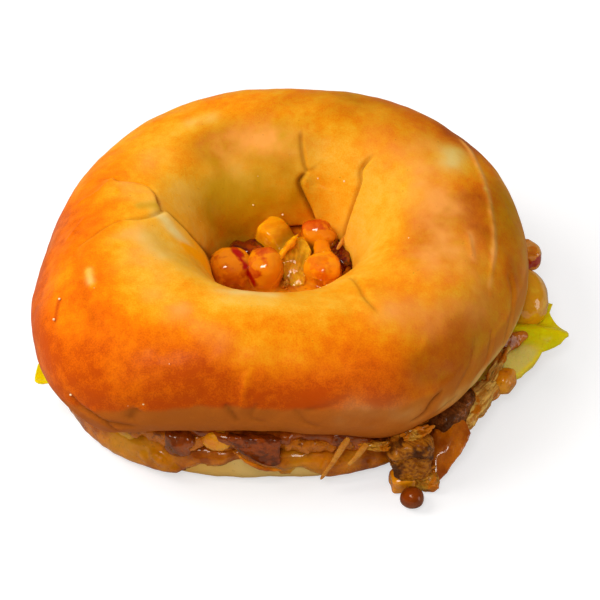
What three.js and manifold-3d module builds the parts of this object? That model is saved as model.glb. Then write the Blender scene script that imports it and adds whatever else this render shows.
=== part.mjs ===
// A filled bagel: a folded crown and a flat heel, with lettuce, chicken, sauce and dice between them.
// Millimetres, +Z up. Angles are in degrees, anticlockwise from +X, and count around the middle of the ring.

import * as THREE from "three";
import { mergeVertices } from "three/addons/utils/BufferGeometryUtils.js";
import Module from "manifold-3d";

const wasm = await Module();
wasm.setup();

// ---------------------------------------------------------------------------------- driving dimensions

const GAP = 0.3; // space left between pieces that touch
const RING_CENTRE = new THREE.Vector3(-8.1, -0.3, 0); // middle of the ring, in the part's own frame

// A lobed size has a mean and a few waves around the ring: { size, count, crest }.
const CROWN_OUTER = {
  mean: 55.65,
  waves: [
    { size: 1.8, count: 1, crest: 47.5 },
    { size: 2.65, count: 2, crest: 15 },
    { size: 2.9, count: 3, crest: -8.3 },
    { size: 2.5, count: 4, crest: 36.2 },
    { size: 0.6, count: 5, crest: 12 },
    { size: 0.55, count: 6, crest: -9.7 },
  ],
};
const CROWN_INNER = {
  mean: 15.8,
  waves: [
    { size: 2.3, count: 1, crest: 51 },
    { size: 1.55, count: 2, crest: 39 },
    { size: 1.6, count: 3, crest: 22 },
  ],
};
const CROWN_FACE = {
  mean: 16.4,
  waves: [
    { size: 1.15, count: 1, crest: 126 },
    { size: 2.9, count: 2, crest: 57 },
    { size: 0.6, count: 3, crest: 70 },
  ],
}; // height of the cut face
const CROWN_CORNERS = [
  { drop: 4.6, angle: 230.5, spread: 8 },
  { drop: 2.4, angle: 302, spread: 9 },
]; // where the lower edge sags over the filling
const CROWN_HEIGHT = 24.1; // cut face to crest
const CROWN_WAIST = 7.5; // cut face to the widest line
const CROWN_TUCK = { inward: 11.9, downward: 10 }; // quarter ellipse below the widest line
const CROWN_FULLNESS = 2.19; // exponent of the outer shoulder, 2 is a plain ellipse
const CREST_PLACE = 0.51; // crest line, as a part of the way from hole to edge

const HEEL_OUTER = {
  mean: 50.5,
  waves: [
    { size: 0.6, count: 1, crest: 60 },
    { size: 1.3, count: 2, crest: 12 },
    { size: 1.1, count: 3, crest: -17 },
    { size: 1.2, count: 4, crest: 38.5 },
  ],
};
const HEEL_TOP = {
  mean: 9.2,
  waves: [
    { size: 0.8, count: 1, crest: 126 },
    { size: 1.2, count: 2, crest: 57 },
  ],
};
const HEEL_HOLE = {
  mean: 11,
  waves: [
    { size: 1.2, count: 1, crest: 51 },
    { size: 1, count: 3, crest: 22 },
  ],
};
const HEEL_EDGE = { inward: 5.5, height: 4.5 }; // rounding of the lower outer edge

const LAYER_GAP = 0.45; // space between a layer and what lies above or below it
const LEAF_THICKNESS = 1.5;
const CHICKEN_SHARE = 0.62; // share of the filling's height taken by leaf and chicken
const LEAST_FILLING = 4.4; // height of the filling where the crown sags lowest
const BED_HEIGHT = 14.8; // filling in the middle of the hole
const MOUND_RADIUS = 7; // flat middle of the filling in the hole
const SHELF_INSET = 0.7; // how far inside the heel's edge a layer starts to fall
const EDGE_INSET = 0.5; // least distance from that ring to the layer's own edge
const EDGE_BULGE = 0.8; // how far a layer's edge is rounded out
const FILLING_DROOP = 0.3; // fall for each millimetre past the heel's edge

const COLUMNS = 44; // around the ring, in bread and layers alike
const CROWN_GRID = { tuck: 3, outside: 6, inside: 7, face: 2 };
const PIECE_GRID = { columns: 8, rows: 5 };

// ------------------------------------------------------------------------------------------- colours

// The first word of a node's name finds its colour.
const COLOURS = {
  crown: 0xd9861f,
  heel: 0xd9b077,
  lettuce: 0xc8bf4a,
  chicken: 0xb97a3a,
  grilled: 0x7a4016,
  bacon: 0x6e2a14,
  sauce: 0xc76a10,
  tomato: 0xd65a14,
  yellow: 0xd79a1c,
  celery: 0xb08a1c,
  onion: 0xe6b45a,
  pepper: 0xe07a12,
  carrot: 0xe07a12,
  cheese: 0xd99a34,
};

const ROUGHNESS = { crust: 0.4, crumb: 0.6, wet: 0.3 };

// ------------------------------------------------------------------------------------- small geometry

const radians = THREE.MathUtils.degToRad;

/** Signed angle from one direction to another, in degrees. */
function turnBetween(from, to) {
  return ((to - from + 540) % 360) - 180;
}

/** A bump of height 1 at one angle that fades out over its spread. */
function bump(angle, centre, spread) {
  return Math.exp(-((turnBetween(centre, angle) / spread) ** 2));
}

/** The waves of a lobed size at one angle, without its mean. */
function swing(lobed, angle) {
  const waveAt = ({ size, count, crest }) => size * Math.cos(radians(count * (angle - crest)));
  return lobed.waves.reduce((sum, wave) => sum + waveAt(wave), 0);
}

function lobedSize(lobed, angle) {
  return lobed.mean + swing(lobed, angle);
}

function polarPoint(radius, angle, height) {
  return new THREE.Vector3(radius * Math.cos(radians(angle)), radius * Math.sin(radians(angle)), height);
}

/** Quads between neighbouring rows of points; the columns close on themselves. */
function stitch(faces, rowA, rowB, columns) {
  for (let j = 0; j < columns; j += 1) {
    const next = (j + 1) % columns;
    faces.push(rowA + j, rowA + next, rowB + next, rowA + j, rowB + next, rowB + j);
  }
}

function solidGeometry(points, faces) {
  const geometry = new THREE.BufferGeometry().setFromPoints(points);
  geometry.setIndex(faces);
  return geometry;
}

/** A closed ring whose section at each angle is a loop of points, outer edge first and going up. */
function ringGeometry(columns, sectionAt) {
  const sections = Array.from({ length: columns }, (_, j) => sectionAt((360 * j) / columns));
  const rows = sections[0].length;
  const points = [];
  for (let i = 0; i < rows; i += 1) {
    sections.forEach((section, j) => {
      points.push(polarPoint(section[i].radius, (360 * j) / columns, section[i].height));
    });
  }
  const faces = [];
  for (let i = 0; i < rows; i += 1) stitch(faces, i * columns, ((i + 1) % rows) * columns, columns);
  return solidGeometry(points, faces);
}

/** A closed form from a bottom point through rows of points to a top point. */
function shellGeometry(columns, rows, bottom, top, pointAt) {
  const points = [bottom];
  for (let i = 0; i < rows; i += 1) {
    for (let j = 0; j < columns; j += 1) points.push(pointAt(i, (360 * j) / columns));
  }
  points.push(top);
  const faces = [];
  const last = 1 + (rows - 1) * columns;
  for (let j = 0; j < columns; j += 1) {
    const next = (j + 1) % columns;
    faces.push(0, 1 + next, 1 + j, last + j, last + next, points.length - 1);
  }
  for (let i = 0; i < rows - 1; i += 1) stitch(faces, 1 + i * columns, 1 + (i + 1) * columns, columns);
  return solidGeometry(points, faces);
}

// -------------------------------------------------------------------------------------------- solids

function toManifold(geometry) {
  const bare = geometry.clone();
  bare.deleteAttribute("normal");
  bare.deleteAttribute("uv");
  const merged = mergeVertices(bare, 1e-4);
  const mesh = new wasm.Mesh({
    numProp: 3,
    vertProperties: Float32Array.from(merged.attributes.position.array),
    triVerts: Uint32Array.from(merged.index.array),
  });
  return new wasm.Manifold(mesh);
}

function toGeometry(manifold) {
  const mesh = manifold.getMesh();
  const geometry = new THREE.BufferGeometry();
  geometry.setAttribute("position", new THREE.BufferAttribute(Float32Array.from(mesh.vertProperties), 3));
  geometry.setIndex(new THREE.BufferAttribute(Uint32Array.from(mesh.triVerts), 1));
  return geometry;
}

/** The largest of the bodies that a cut leaves. */
function largestBody(manifold) {
  return manifold.decompose().reduce((best, body) => (body.volume() > best.volume() ? body : best));
}

/** A piece less the space that its neighbours need. */
function carve(piece, neighbours) {
  return largestBody(neighbours.reduce((rest, neighbour) => rest.subtract(neighbour), piece));
}

// --------------------------------------------------------------------------------------------- crown

// Folds in the crust: where each runs, as [angle, rise] with rise 0 at the widest line, 90 at the crest
// and 180 at the foot of the hole's wall, and how deep and wide its dent is.
const FOLDS = [
  { depth: 1.6, width: 2.2, path: [[160, 90], [158, 107], [166, 126], [174, 141], [186, 157]] },
  { depth: 1.0, width: 1.8, path: [[177, 108], [167, 120], [153, 130]] },
  { depth: 1.8, width: 2.2, path: [[75, 118], [66, 141], [70, 148], [61, 164], [51, 178]] },
  { depth: 1.5, width: 2.0, path: [[40, 120], [37, 136], [34, 152], [34, 178]] },
  { depth: 0.8, width: 2.0, path: [[318, 114], [309, 92], [308, 78]] },
];

/** How far the crown's lower edge hangs below its cut face. */
function crownSag(angle) {
  return CROWN_CORNERS.reduce((sum, { drop, angle: at, spread }) => sum + drop * bump(angle, at, spread), 0);
}

/** One point of the smooth crust; rise runs from below 0, on the tuck, over 90, the crest, to 180. */
function crustPoint(angle, rise, grow) {
  const outer = lobedSize(CROWN_OUTER, angle) + grow;
  const inner = lobedSize(CROWN_INNER, angle) - grow;
  const crest = inner + CREST_PLACE * (outer - inner);
  const face = lobedSize(CROWN_FACE, angle);
  const waist = face + CROWN_WAIST;
  const turn = radians(rise);
  if (rise < 0) {
    const stretch = 1 + crownSag(angle) / CROWN_WAIST;
    return {
      radius: outer - CROWN_TUCK.inward * (1 - Math.cos(turn)),
      height: waist + CROWN_TUCK.downward * stretch * Math.sin(turn),
    };
  }
  if (rise <= 90) {
    const power = 2 / CROWN_FULLNESS;
    return {
      radius: crest + (outer - crest) * Math.abs(Math.cos(turn)) ** power,
      height: waist + (CROWN_HEIGHT - CROWN_WAIST + grow) * Math.sin(turn) ** power,
    };
  }
  return {
    radius: crest - (crest - inner) * Math.abs(Math.cos(turn)),
    height: face - grow + (CROWN_HEIGHT + 2 * grow) * Math.abs(Math.sin(turn)),
  };
}

/** Depth of the folds at one place of the crust, from the distance to each fold's path. */
function foldDepth(angle, rise) {
  const here = crustPoint(angle, rise, 0);
  const mmPerTurn = radians(here.radius);
  const mmPerRise = radians(CROWN_HEIGHT * 0.85);
  let depth = 0;
  for (const fold of FOLDS) {
    let nearest = Infinity;
    for (let k = 0; k + 1 < fold.path.length; k += 1) {
      const [a, b] = fold.path
        .slice(k, k + 2)
        .map(([turn, climb]) => [turnBetween(angle, turn) * mmPerTurn, (climb - rise) * mmPerRise])
        .map(([across, up]) => new THREE.Vector2(across, up));
      const along = b.clone().sub(a);
      const share = THREE.MathUtils.clamp(-a.dot(along) / along.lengthSq(), 0, 1);
      nearest = Math.min(nearest, a.addScaledVector(along, share).length());
    }
    depth += fold.depth * Math.exp(-((nearest / fold.width) ** 2));
  }
  return depth;
}

/** The crust pushed in, towards the middle of the section, by the folds. */
function foldedCrust(angle, rise, grow) {
  const point = crustPoint(angle, rise, grow);
  const core = {
    radius: (lobedSize(CROWN_OUTER, angle) + lobedSize(CROWN_INNER, angle)) / 2,
    height: lobedSize(CROWN_FACE, angle) + CROWN_WAIST,
  };
  const reach = Math.hypot(point.radius - core.radius, point.height - core.height);
  const keep = 1 - foldDepth(angle, rise) / reach;
  return {
    radius: core.radius + (point.radius - core.radius) * keep,
    height: core.height + (point.height - core.height) * keep,
  };
}

function crownSection(angle, grow) {
  const { tuck, outside, inside, face } = CROWN_GRID;
  const tuckEnd = -THREE.MathUtils.radToDeg(Math.asin((CROWN_WAIST + grow) / CROWN_TUCK.downward));
  const rises = [];
  for (let i = 0; i < tuck; i += 1) rises.push(tuckEnd * (1 - i / tuck));
  for (let i = 0; i < outside; i += 1) rises.push((90 * i) / outside);
  for (let i = 0; i <= inside; i += 1) rises.push(90 + (90 * i) / inside);
  const section = rises.map((rise) => foldedCrust(angle, rise, grow));
  const start = section[section.length - 1];
  const end = section[0];
  for (let i = 1; i < face; i += 1) {
    section.push({
      radius: THREE.MathUtils.lerp(start.radius, end.radius, i / face),
      height: THREE.MathUtils.lerp(start.height, end.height, i / face),
    });
  }
  return section;
}

function crownGeometry(grow = 0) {
  return ringGeometry(COLUMNS, (angle) => crownSection(angle, grow));
}

// ---------------------------------------------------------------------------------------------- heel

function heelSection(angle, grow) {
  const edge = lobedSize(HEEL_OUTER, angle) + grow;
  const hole = lobedSize(HEEL_HOLE, angle) - grow;
  const top = lobedSize(HEEL_TOP, angle) + grow;
  const corner = [90, 45, 0].map((turn) => ({
    radius: edge - HEEL_EDGE.inward * (1 - Math.cos(radians(turn))),
    height: HEEL_EDGE.height * (1 - Math.sin(radians(turn))),
  }));
  return [
    ...corner,
    { radius: edge - 0.4, height: 0.75 * top },
    { radius: edge - 1.4, height: top },
    { radius: hole + 0.5, height: top },
    { radius: hole, height: 0.55 * top },
    { radius: hole + 0.8, height: 1.4 },
    { radius: hole + 2.6, height: 0 },
  ];
}

function heelGeometry(grow = 0) {
  return ringGeometry(COLUMNS, (angle) => heelSection(angle, grow));
}

// ----------------------------------------------------------------------------------- filling in layers

/** Height of the heel's face, levelled out over the hole and falling past the heel's edge. */
function underFilling(radius, angle) {
  const level = THREE.MathUtils.clamp(radius / MOUND_RADIUS, 0, 1);
  const past = Math.max(0, radius - lobedSize(HEEL_OUTER, angle) + SHELF_INSET);
  return HEEL_TOP.mean + level * swing(HEEL_TOP, angle) - FILLING_DROOP * past;
}

function holeEdge(angle) {
  return lobedSize(CROWN_INNER, angle) - 1;
}

/** Height of the crown's face over the filling, with a low mound in the open hole. */
function overFilling(radius, angle) {
  const hole = holeEdge(angle);
  const outward = THREE.MathUtils.clamp((radius - hole) / (lobedSize(CROWN_OUTER, angle) - 4 - hole), 0, 1);
  const face = lobedSize(CROWN_FACE, angle) - outward * crownSag(angle);
  const roomy = Math.max(face, underFilling(radius, angle) + LEAST_FILLING);
  const climb = THREE.MathUtils.clamp((radius - MOUND_RADIUS) / (hole - MOUND_RADIUS), 0, 1);
  return THREE.MathUtils.lerp(BED_HEIGHT, roomy, climb);
}

function leafTop(radius, angle) {
  return underFilling(radius, angle) + LAYER_GAP + LEAF_THICKNESS;
}

function chickenTop(radius, angle) {
  return THREE.MathUtils.lerp(underFilling(radius, angle), overFilling(radius, angle), CHICKEN_SHARE);
}

/** A layer between two heights, in rings out to an uneven edge that is rounded over. */
function layerGeometry({ edgeAt, lowAt, highAt }) {
  const rings = [
    () => MOUND_RADIUS,
    holeEdge,
    (angle) => Math.min(edgeAt(angle) - EDGE_INSET, lobedSize(HEEL_OUTER, angle) - SHELF_INSET),
    edgeAt,
  ];
  const rows = [
    ...rings.map((radiusAt) => ({ radiusAt, lift: 0 })),
    { radiusAt: (angle) => edgeAt(angle) + EDGE_BULGE, lift: 0.5 },
    ...rings.map((radiusAt) => ({ radiusAt, lift: 1 })).reverse(),
  ];
  const pointAt = (i, angle) => {
    const radius = rows[i].radiusAt(angle);
    const height = THREE.MathUtils.lerp(lowAt(radius, angle), highAt(radius, angle), rows[i].lift);
    return polarPoint(radius, angle, height);
  };
  const bottom = new THREE.Vector3(0, 0, lowAt(0, 0));
  const top = new THREE.Vector3(0, 0, highAt(0, 0));
  return shellGeometry(COLUMNS, rows.length, bottom, top, pointAt);
}

// The leaf shows where its lobes reach past the bread: { reach, angle, spread }.
const LEAF_LOBES = [
  { reach: 18.5, angle: 359, spread: 6.5 },
  { reach: 11, angle: 345, spread: 9 },
  { reach: 8, angle: 202, spread: 6.5 },
  { reach: 5, angle: 55, spread: 9 },
  { reach: 5.5, angle: 133, spread: 10 },
];
const LEAF_FRILL = 0.7;

/** A layer's edge: a part of the heel's radius, with two waves that make it uneven. */
function unevenEdge(angle, ratio, wave, ripples) {
  const long = Math.sin(radians(ripples[0] * angle + 20));
  const short = 0.5 * Math.cos(radians(ripples[1] * angle + 60));
  return ratio * lobedSize(HEEL_OUTER, angle) + wave * (long + short);
}

function leafEdge(angle) {
  const lobes = LEAF_LOBES.reduce((sum, lobe) => sum + lobe.reach * bump(angle, lobe.angle, lobe.spread), 0);
  return unevenEdge(angle, 0.96, LEAF_FRILL, [7, 19]) + lobes;
}

// From the heel up.
const LEAF = {
  edgeAt: leafEdge,
  lowAt: (radius, angle) => underFilling(radius, angle) + LAYER_GAP,
  highAt: leafTop,
};
const CHICKEN = {
  edgeAt: (angle) => unevenEdge(angle, 0.965, 0.9, [5, 13]),
  lowAt: (radius, angle) => leafTop(radius, angle) + LAYER_GAP,
  highAt: chickenTop,
};
const SAUCE = {
  edgeAt: (angle) => unevenEdge(angle, 0.95, 0.8, [7, 11]),
  lowAt: (radius, angle) => chickenTop(radius, angle) + LAYER_GAP,
  highAt: (radius, angle) => overFilling(radius, angle) - LAYER_GAP,
};

// -------------------------------------------------------------------------------- pieces in the filling

// Each piece: its middle, half its size along its own axes, how far it is turned about Z, leant about
// its own X and tilted about its own Y, and how square it is (2 is an ellipsoid, 5 nearly a block).
const PIECES = [
  // In the hole
  { name: "tomato_dice_1", at: [-9.2, 1.4, 19.2], half: [4.2, 4.4, 4.2], turn: 15 },
  { name: "tomato_dice_2", at: [-1.8, 1.6, 18.9], half: [3.3, 4.7, 4.4], turn: -6 },
  { name: "celery_dice", at: [1.4, 12.2, 19.9], half: [4.2, 3.4, 3.5], turn: -28, square: 4 },
  { name: "onion_slice", at: [5.4, 4.4, 18.3], half: [2.3, 6, 3.4], turn: -22 },
  { name: "pepper_dice_1", at: [10.6, 13, 20.2], half: [3.8, 3.6, 3.6], turn: 10 },
  { name: "pepper_dice_2", at: [12.3, 4, 18.6], half: [3.7, 4.7, 4], turn: 12 },
  { name: "bacon_piece", at: [16.6, 9.4, 17.4], half: [2.6, 3.8, 2.8], turn: -20 },
  { name: "tomato_dice_3", at: [-6.8, 10, 17.8], half: [3.7, 3, 2.8], turn: 30 },
  // Right-hand side
  { name: "tomato_dice_4", at: [63, 15.4, 12.8], half: [4.2, 3.9, 3.9], turn: 12 },
  { name: "yellow_tomato", at: [61.2, 4, 10.2], half: [6.9, 7.6, 6.8], square: 2 },
  { name: "sauce_blob", at: [54.6, -20.6, 7.6], half: [2.7, 3.3, 3.3], turn: -20, square: 2.2 },
  { name: "chicken_strip", at: [48, -27.6, 7.2], half: [9, 3.4, 3], turn: 58 },
  { name: "grilled_strip", at: [41.8, -31.4, 9], half: [6.6, 3.6, 3], turn: 48 },
  // Front right, hanging over the heel's edge
  { name: "sauce_drape", at: [39, -41.8, 5.6], half: [4.4, 3, 7.4], turn: -38, lean: -50, square: 2.4 },
  { name: "chicken_chunk", at: [31, -44.4, 9.4], half: [4.8, 4.2, 5.4], turn: 8, square: 4 },
  { name: "carrot_cube", at: [29.6, -47, 2.6], half: [2.7, 2.2, 2.3], turn: 8, square: 4 },
  { name: "chicken_crumb", at: [34.6, -47, 2.6], half: [2.4, 1.8, 1.9], turn: -10 },
  { name: "sauce_drop", at: [31.4, -52, 2.7], half: [2.7, 2.6, 2.65], square: 2 },
  // Front
  { name: "grilled_piece", at: [-3, -44.6, 10.6], half: [6.4, 3, 4.8], turn: -3, square: 4 },
  { name: "grilled_crumb", at: [-19.2, -44, 10.8], half: [2.4, 2.4, 2.6], turn: -12 },
  { name: "sauce_lump", at: [-11.9, -44, 12.2], half: [2.7, 1.9, 2.1], turn: -5, square: 2.4 },
  { name: "cheese_strand_1", at: [14.3, -47.6, 10.2], half: [0.9, 0.7, 6.6], turn: 8, tilt: 28, square: 2.4 },
  { name: "cheese_strand_2", at: [22, -47.2, 10.6], half: [0.9, 0.7, 4.6], turn: 14, tilt: 50, square: 2.4 },
  { name: "onion_bit", at: [-31.4, -38.8, 10.8], half: [3, 2, 1.9], turn: -38 },
  // Left-hand side and back
  { name: "tomato_dice_5", at: [-46.6, 12, 11], half: [3.4, 3.6, 2.6], turn: -10 },
  { name: "chicken_left", at: [-40.4, 29.6, 10.6], half: [6.8, 3.4, 2.5], turn: 56 },
  { name: "chicken_back", at: [-20, 47.4, 11.8], half: [7.2, 3.4, 3], turn: 20 },
  { name: "grilled_back", at: [15.6, 46.6, 14.4], half: [7, 3.2, 4], turn: -20, square: 3.4 },
  { name: "pepper_dice_3", at: [38.6, 37.4, 13.4], half: [3.3, 3, 3.1], turn: -40 },
];

/** A power that keeps the sign, which squares an ellipsoid off. */
function squared(value, square) {
  return Math.sign(value) * Math.abs(value) ** (2 / square);
}

/** A rounded lump, slightly uneven, with its place and turn worked into its points. */
function pieceGeometry(piece, grow = 0) {
  const { columns, rows } = PIECE_GRID;
  const { at, turn = 0, lean = 0, tilt = 0, square = 3 } = piece;
  const half = piece.half.map((size) => size + grow);
  const pose = new THREE.Matrix4().compose(
    new THREE.Vector3(...at),
    new THREE.Quaternion().setFromEuler(new THREE.Euler(radians(lean), radians(tilt), radians(turn), "ZXY")),
    new THREE.Vector3(1, 1, 1),
  );
  const pointAt = (i, angle) => {
    const climb = radians(-90 + (180 * (i + 1)) / (rows + 1));
    const waist = squared(Math.cos(climb), square);
    const uneven = 1 + 0.05 * Math.sin(radians(2 * angle) + at[0]) * Math.cos(climb);
    return new THREE.Vector3(
      half[0] * waist * squared(Math.cos(radians(angle)), square) * uneven,
      half[1] * waist * squared(Math.sin(radians(angle)), square) * uneven,
      half[2] * squared(Math.sin(climb), square),
    ).applyMatrix4(pose);
  };
  const bottom = new THREE.Vector3(0, 0, -half[2]).applyMatrix4(pose);
  const top = new THREE.Vector3(0, 0, half[2]).applyMatrix4(pose);
  return shellGeometry(columns, rows, bottom, top, pointAt);
}

// ------------------------------------------------------------------------------------------ assembly

function foodMesh(name, geometry, roughness) {
  const color = COLOURS[name.split("_")[0]];
  const material = new THREE.MeshStandardMaterial({ color, roughness, metalness: 0 });
  const mesh = new THREE.Mesh(geometry, material);
  mesh.name = name;
  return mesh;
}

/** The loose pieces, each cut clear of the bread and of the pieces before it. */
function buildPieces(bread) {
  const meshes = [];
  const spaces = [];
  for (const piece of PIECES) {
    const solid = carve(toManifold(pieceGeometry(piece)), [...bread, ...spaces]);
    spaces.push(toManifold(pieceGeometry(piece, GAP)));
    meshes.push(foodMesh(piece.name, toGeometry(solid), ROUGHNESS.wet));
  }
  return { meshes, spaces };
}

function buildBagel() {
  const bread = [toManifold(crownGeometry(GAP)), toManifold(heelGeometry(GAP))];
  const pieces = buildPieces(bread);
  const layer = (shape) => toGeometry(carve(toManifold(layerGeometry(shape)), [...bread, ...pieces.spaces]));
  const group = new THREE.Group();
  group.position.copy(RING_CENTRE);
  group.add(
    foodMesh("crown", crownGeometry(), ROUGHNESS.crust),
    foodMesh("heel", heelGeometry(), ROUGHNESS.crumb),
    foodMesh("lettuce_leaf", layer(LEAF), ROUGHNESS.crust),
    foodMesh("chicken_layer", layer(CHICKEN), ROUGHNESS.crumb),
    foodMesh("sauce_layer", layer(SAUCE), ROUGHNESS.wet),
    ...pieces.meshes,
  );
  return group;
}

export default buildBagel();
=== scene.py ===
"""A filled bagel: a glossy folded crown and a heel, with leaf, chicken, sauce and dice between them.

Lengths are in millimetres in the ring's own frame, whose middle is the middle of the bagel's hole at the
height of the table, and become metres in the part's frame when a mesh is made. Angles are in degrees,
anticlockwise from +X. A place on the crust is an angle and a rise: rise 0 is the widest line, 90 the
crest, 180 the foot of the hole's wall, and below 0 is the tuck under the crown's edge.
"""

from __future__ import annotations

import logging
import math
from dataclasses import dataclass, field
from enum import Enum
from typing import Callable, Sequence

import bmesh
import bpy
import numpy as np
from mathutils import Euler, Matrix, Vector

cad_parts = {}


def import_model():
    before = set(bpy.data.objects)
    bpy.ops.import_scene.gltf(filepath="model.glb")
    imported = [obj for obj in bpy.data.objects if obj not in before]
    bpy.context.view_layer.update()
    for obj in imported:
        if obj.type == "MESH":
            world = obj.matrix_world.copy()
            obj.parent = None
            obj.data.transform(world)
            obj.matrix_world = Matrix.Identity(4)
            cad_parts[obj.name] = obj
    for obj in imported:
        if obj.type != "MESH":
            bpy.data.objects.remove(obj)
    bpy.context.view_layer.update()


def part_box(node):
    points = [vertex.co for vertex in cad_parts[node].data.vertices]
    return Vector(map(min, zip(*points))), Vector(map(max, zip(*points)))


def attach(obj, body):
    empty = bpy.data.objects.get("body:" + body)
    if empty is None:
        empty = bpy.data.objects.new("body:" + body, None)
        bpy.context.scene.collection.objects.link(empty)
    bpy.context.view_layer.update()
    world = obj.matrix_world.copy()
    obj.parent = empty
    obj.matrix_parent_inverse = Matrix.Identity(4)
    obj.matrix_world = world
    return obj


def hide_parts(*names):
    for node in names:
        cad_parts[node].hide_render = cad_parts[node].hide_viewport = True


LOG = logging.getLogger("bagel")

MM = 0.001
RING_CENTRE = np.array((-8.1, -0.3, 0.0))
SEED = 20

Array = np.ndarray
Place = tuple[float, float]
Spot = tuple[float, float, float]
Colour = Spot
Curve = tuple[tuple[float, ...], tuple[float, ...]]
Height = Callable[[Array, Array], Array]
Materials = dict[str, bpy.types.Material]
Socket = bpy.types.NodeSocket


# ------------------------------------------------------------------------------------------ small maths


def polar(radius: Array, angle: Array, height: Array) -> Array:
    """Points from radius, angle in degrees and height."""
    turn = np.radians(angle)
    return np.stack(np.broadcast_arrays(radius * np.cos(turn), radius * np.sin(turn), height), axis=-1)


def ring_angles(count: int) -> Array:
    """Evenly spread angles, once round the ring."""
    return np.linspace(0.0, 360.0, count, endpoint=False)


def turn_of(points: Array) -> Array:
    """The angle at which each point lies, from 0 to 360."""
    return np.degrees(np.arctan2(points[..., 1], points[..., 0])) % 360.0


def radius_of(points: Array) -> Array:
    """How far each point is from the ring's axis."""
    return np.hypot(points[..., 0], points[..., 1])


def blend(low: Array, high: Array, share: Array) -> Array:
    """A mix of two values by a share from 0 to 1."""
    return low + (high - low) * share


def ease(value: Array, start: float, end: float) -> Array:
    """A smooth step from 0 at start to 1 at end."""
    share = np.clip((value - start) / (end - start), 0.0, 1.0)
    return share * share * (3.0 - 2.0 * share)


def bump(angle: Array, centre: float, spread: float) -> Array:
    """A bump of height 1 at one angle that fades out over its spread."""
    away = (angle - centre + 540.0) % 360.0 - 180.0
    return np.exp(-((away / spread) ** 2))


def smooth_path(points: Sequence[Sequence[float]], count: int) -> Array:
    """A Catmull-Rom curve through the points.

    Args:
        points: The points that the curve passes through.
        count: How many points to put on the curve.

    Returns:
        An array with one row for each point of the curve.
    """
    fixed = np.asarray(points, float)
    ends = np.vstack([2 * fixed[0] - fixed[1], fixed, 2 * fixed[-1] - fixed[-2]])
    place = np.linspace(0.0, len(fixed) - 1.0, count)
    first = np.minimum(place.astype(int), len(fixed) - 2)
    t = (place - first)[:, None]
    a, b, c, d = (ends[first + k] for k in range(4))
    square, cube = 2 * a - 5 * b + 4 * c - d, 3 * b - a - 3 * c + d
    return 0.5 * (2 * b + (c - a) * t + square * t**2 + cube * t**3)


def crust_path(places: Sequence[Place], count: int) -> Array:
    """A smooth path over the crust that goes the short way round the ring.

    Args:
        places: Angles and rises that it passes through.
        count: How many places to put on it.

    Returns:
        One row of angle and rise for each place.
    """
    fixed = np.array(places, float)
    fixed[:, 0] = np.unwrap(fixed[:, 0], period=360.0)
    return smooth_path(fixed, count)


@dataclass(frozen=True)
class LobedSize:
    """A size that varies around the ring: a mean and a few waves of size, count and crest."""

    mean: float
    waves: tuple[tuple[float, int, float], ...]

    def swing(self, angle: Array) -> Array:
        """The waves at an angle, without the mean."""
        return sum(size * np.cos(np.radians(count * (angle - at))) for size, count, at in self.waves)

    def at(self, angle: Array) -> Array:
        """The whole size at an angle."""
        return self.mean + self.swing(angle)


@dataclass(frozen=True)
class Grain:
    """Repeatable value noise, read at points in millimetres."""

    seed: int
    cells: int = 48

    def at(self, points: Array, size: float, octaves: int = 3) -> Array:
        """Noise between about -1 and 1.

        Args:
            points: Where to read it, with three columns.
            size: The size of the largest lumps in millimetres.
            octaves: How many layers, each half as large and half as strong.

        Returns:
            One value for each point.
        """
        table = np.random.default_rng(self.seed).random((self.cells,) * 3)
        total = np.zeros(len(points))
        for octave in range(octaves):
            spots = points * (2.0**octave / size) + 17.3 * (octave + 1)
            total += self._layer(table, spots) * 0.5**octave
        return total * 1.4

    def _layer(self, table: Array, spots: Array) -> Array:
        """One layer of noise, blended between the corners of its cells."""
        cell = np.floor(spots).astype(int)
        part = spots - cell
        part = part * part * (3.0 - 2.0 * part)
        total = np.zeros(len(spots))
        for corner in np.ndindex(2, 2, 2):
            weight = np.prod(np.where(corner, part, 1.0 - part), axis=1)
            x, y, z = ((cell + corner) % self.cells).T
            total += weight * table[x, y, z]
        return 2.0 * total - 1.0


def lumpy(number: int, points: Array, height: float, size: float, octaves: int = 3) -> Array:
    """Noise of its own seed at points, between about minus and plus its height."""
    return height * Grain(SEED + number).at(points, size, octaves)


# ----------------------------------------------------------------------------------------------- meshes


@dataclass
class Solid:
    """A closed triangle mesh in millimetres, with named masks on its points."""

    points: Array
    faces: Array
    masks: dict[str, Array] = field(default_factory=dict)

    def normals(self) -> Array:
        """The outward direction at each point."""
        a, b, c = (self.points[self.faces[:, k]] for k in range(3))
        across = np.cross(b - a, c - a)
        total = np.zeros_like(self.points)
        for k in range(3):
            np.add.at(total, self.faces[:, k], across)
        return total / np.maximum(np.linalg.norm(total, axis=1, keepdims=True), 1e-12)

    def push(self, distance: Array) -> None:
        """Moves each point outwards by its own distance."""
        self.points = self.points + self.normals() * np.asarray(distance)[:, None]

    def mesh(self, name: str) -> bpy.types.Mesh:
        """A smooth-shaded mesh in metres in the part's frame."""
        mesh = bpy.data.meshes.new(name)
        mesh.from_pydata(((self.points + RING_CENTRE) * MM).tolist(), [], self.faces.tolist())
        for key, values in self.masks.items():
            layer = mesh.attributes.new(key, "FLOAT", "POINT")
            layer.data.foreach_set("value", np.asarray(values, np.float32))
        mesh.shade_smooth()
        mesh.update()
        return mesh


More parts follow.
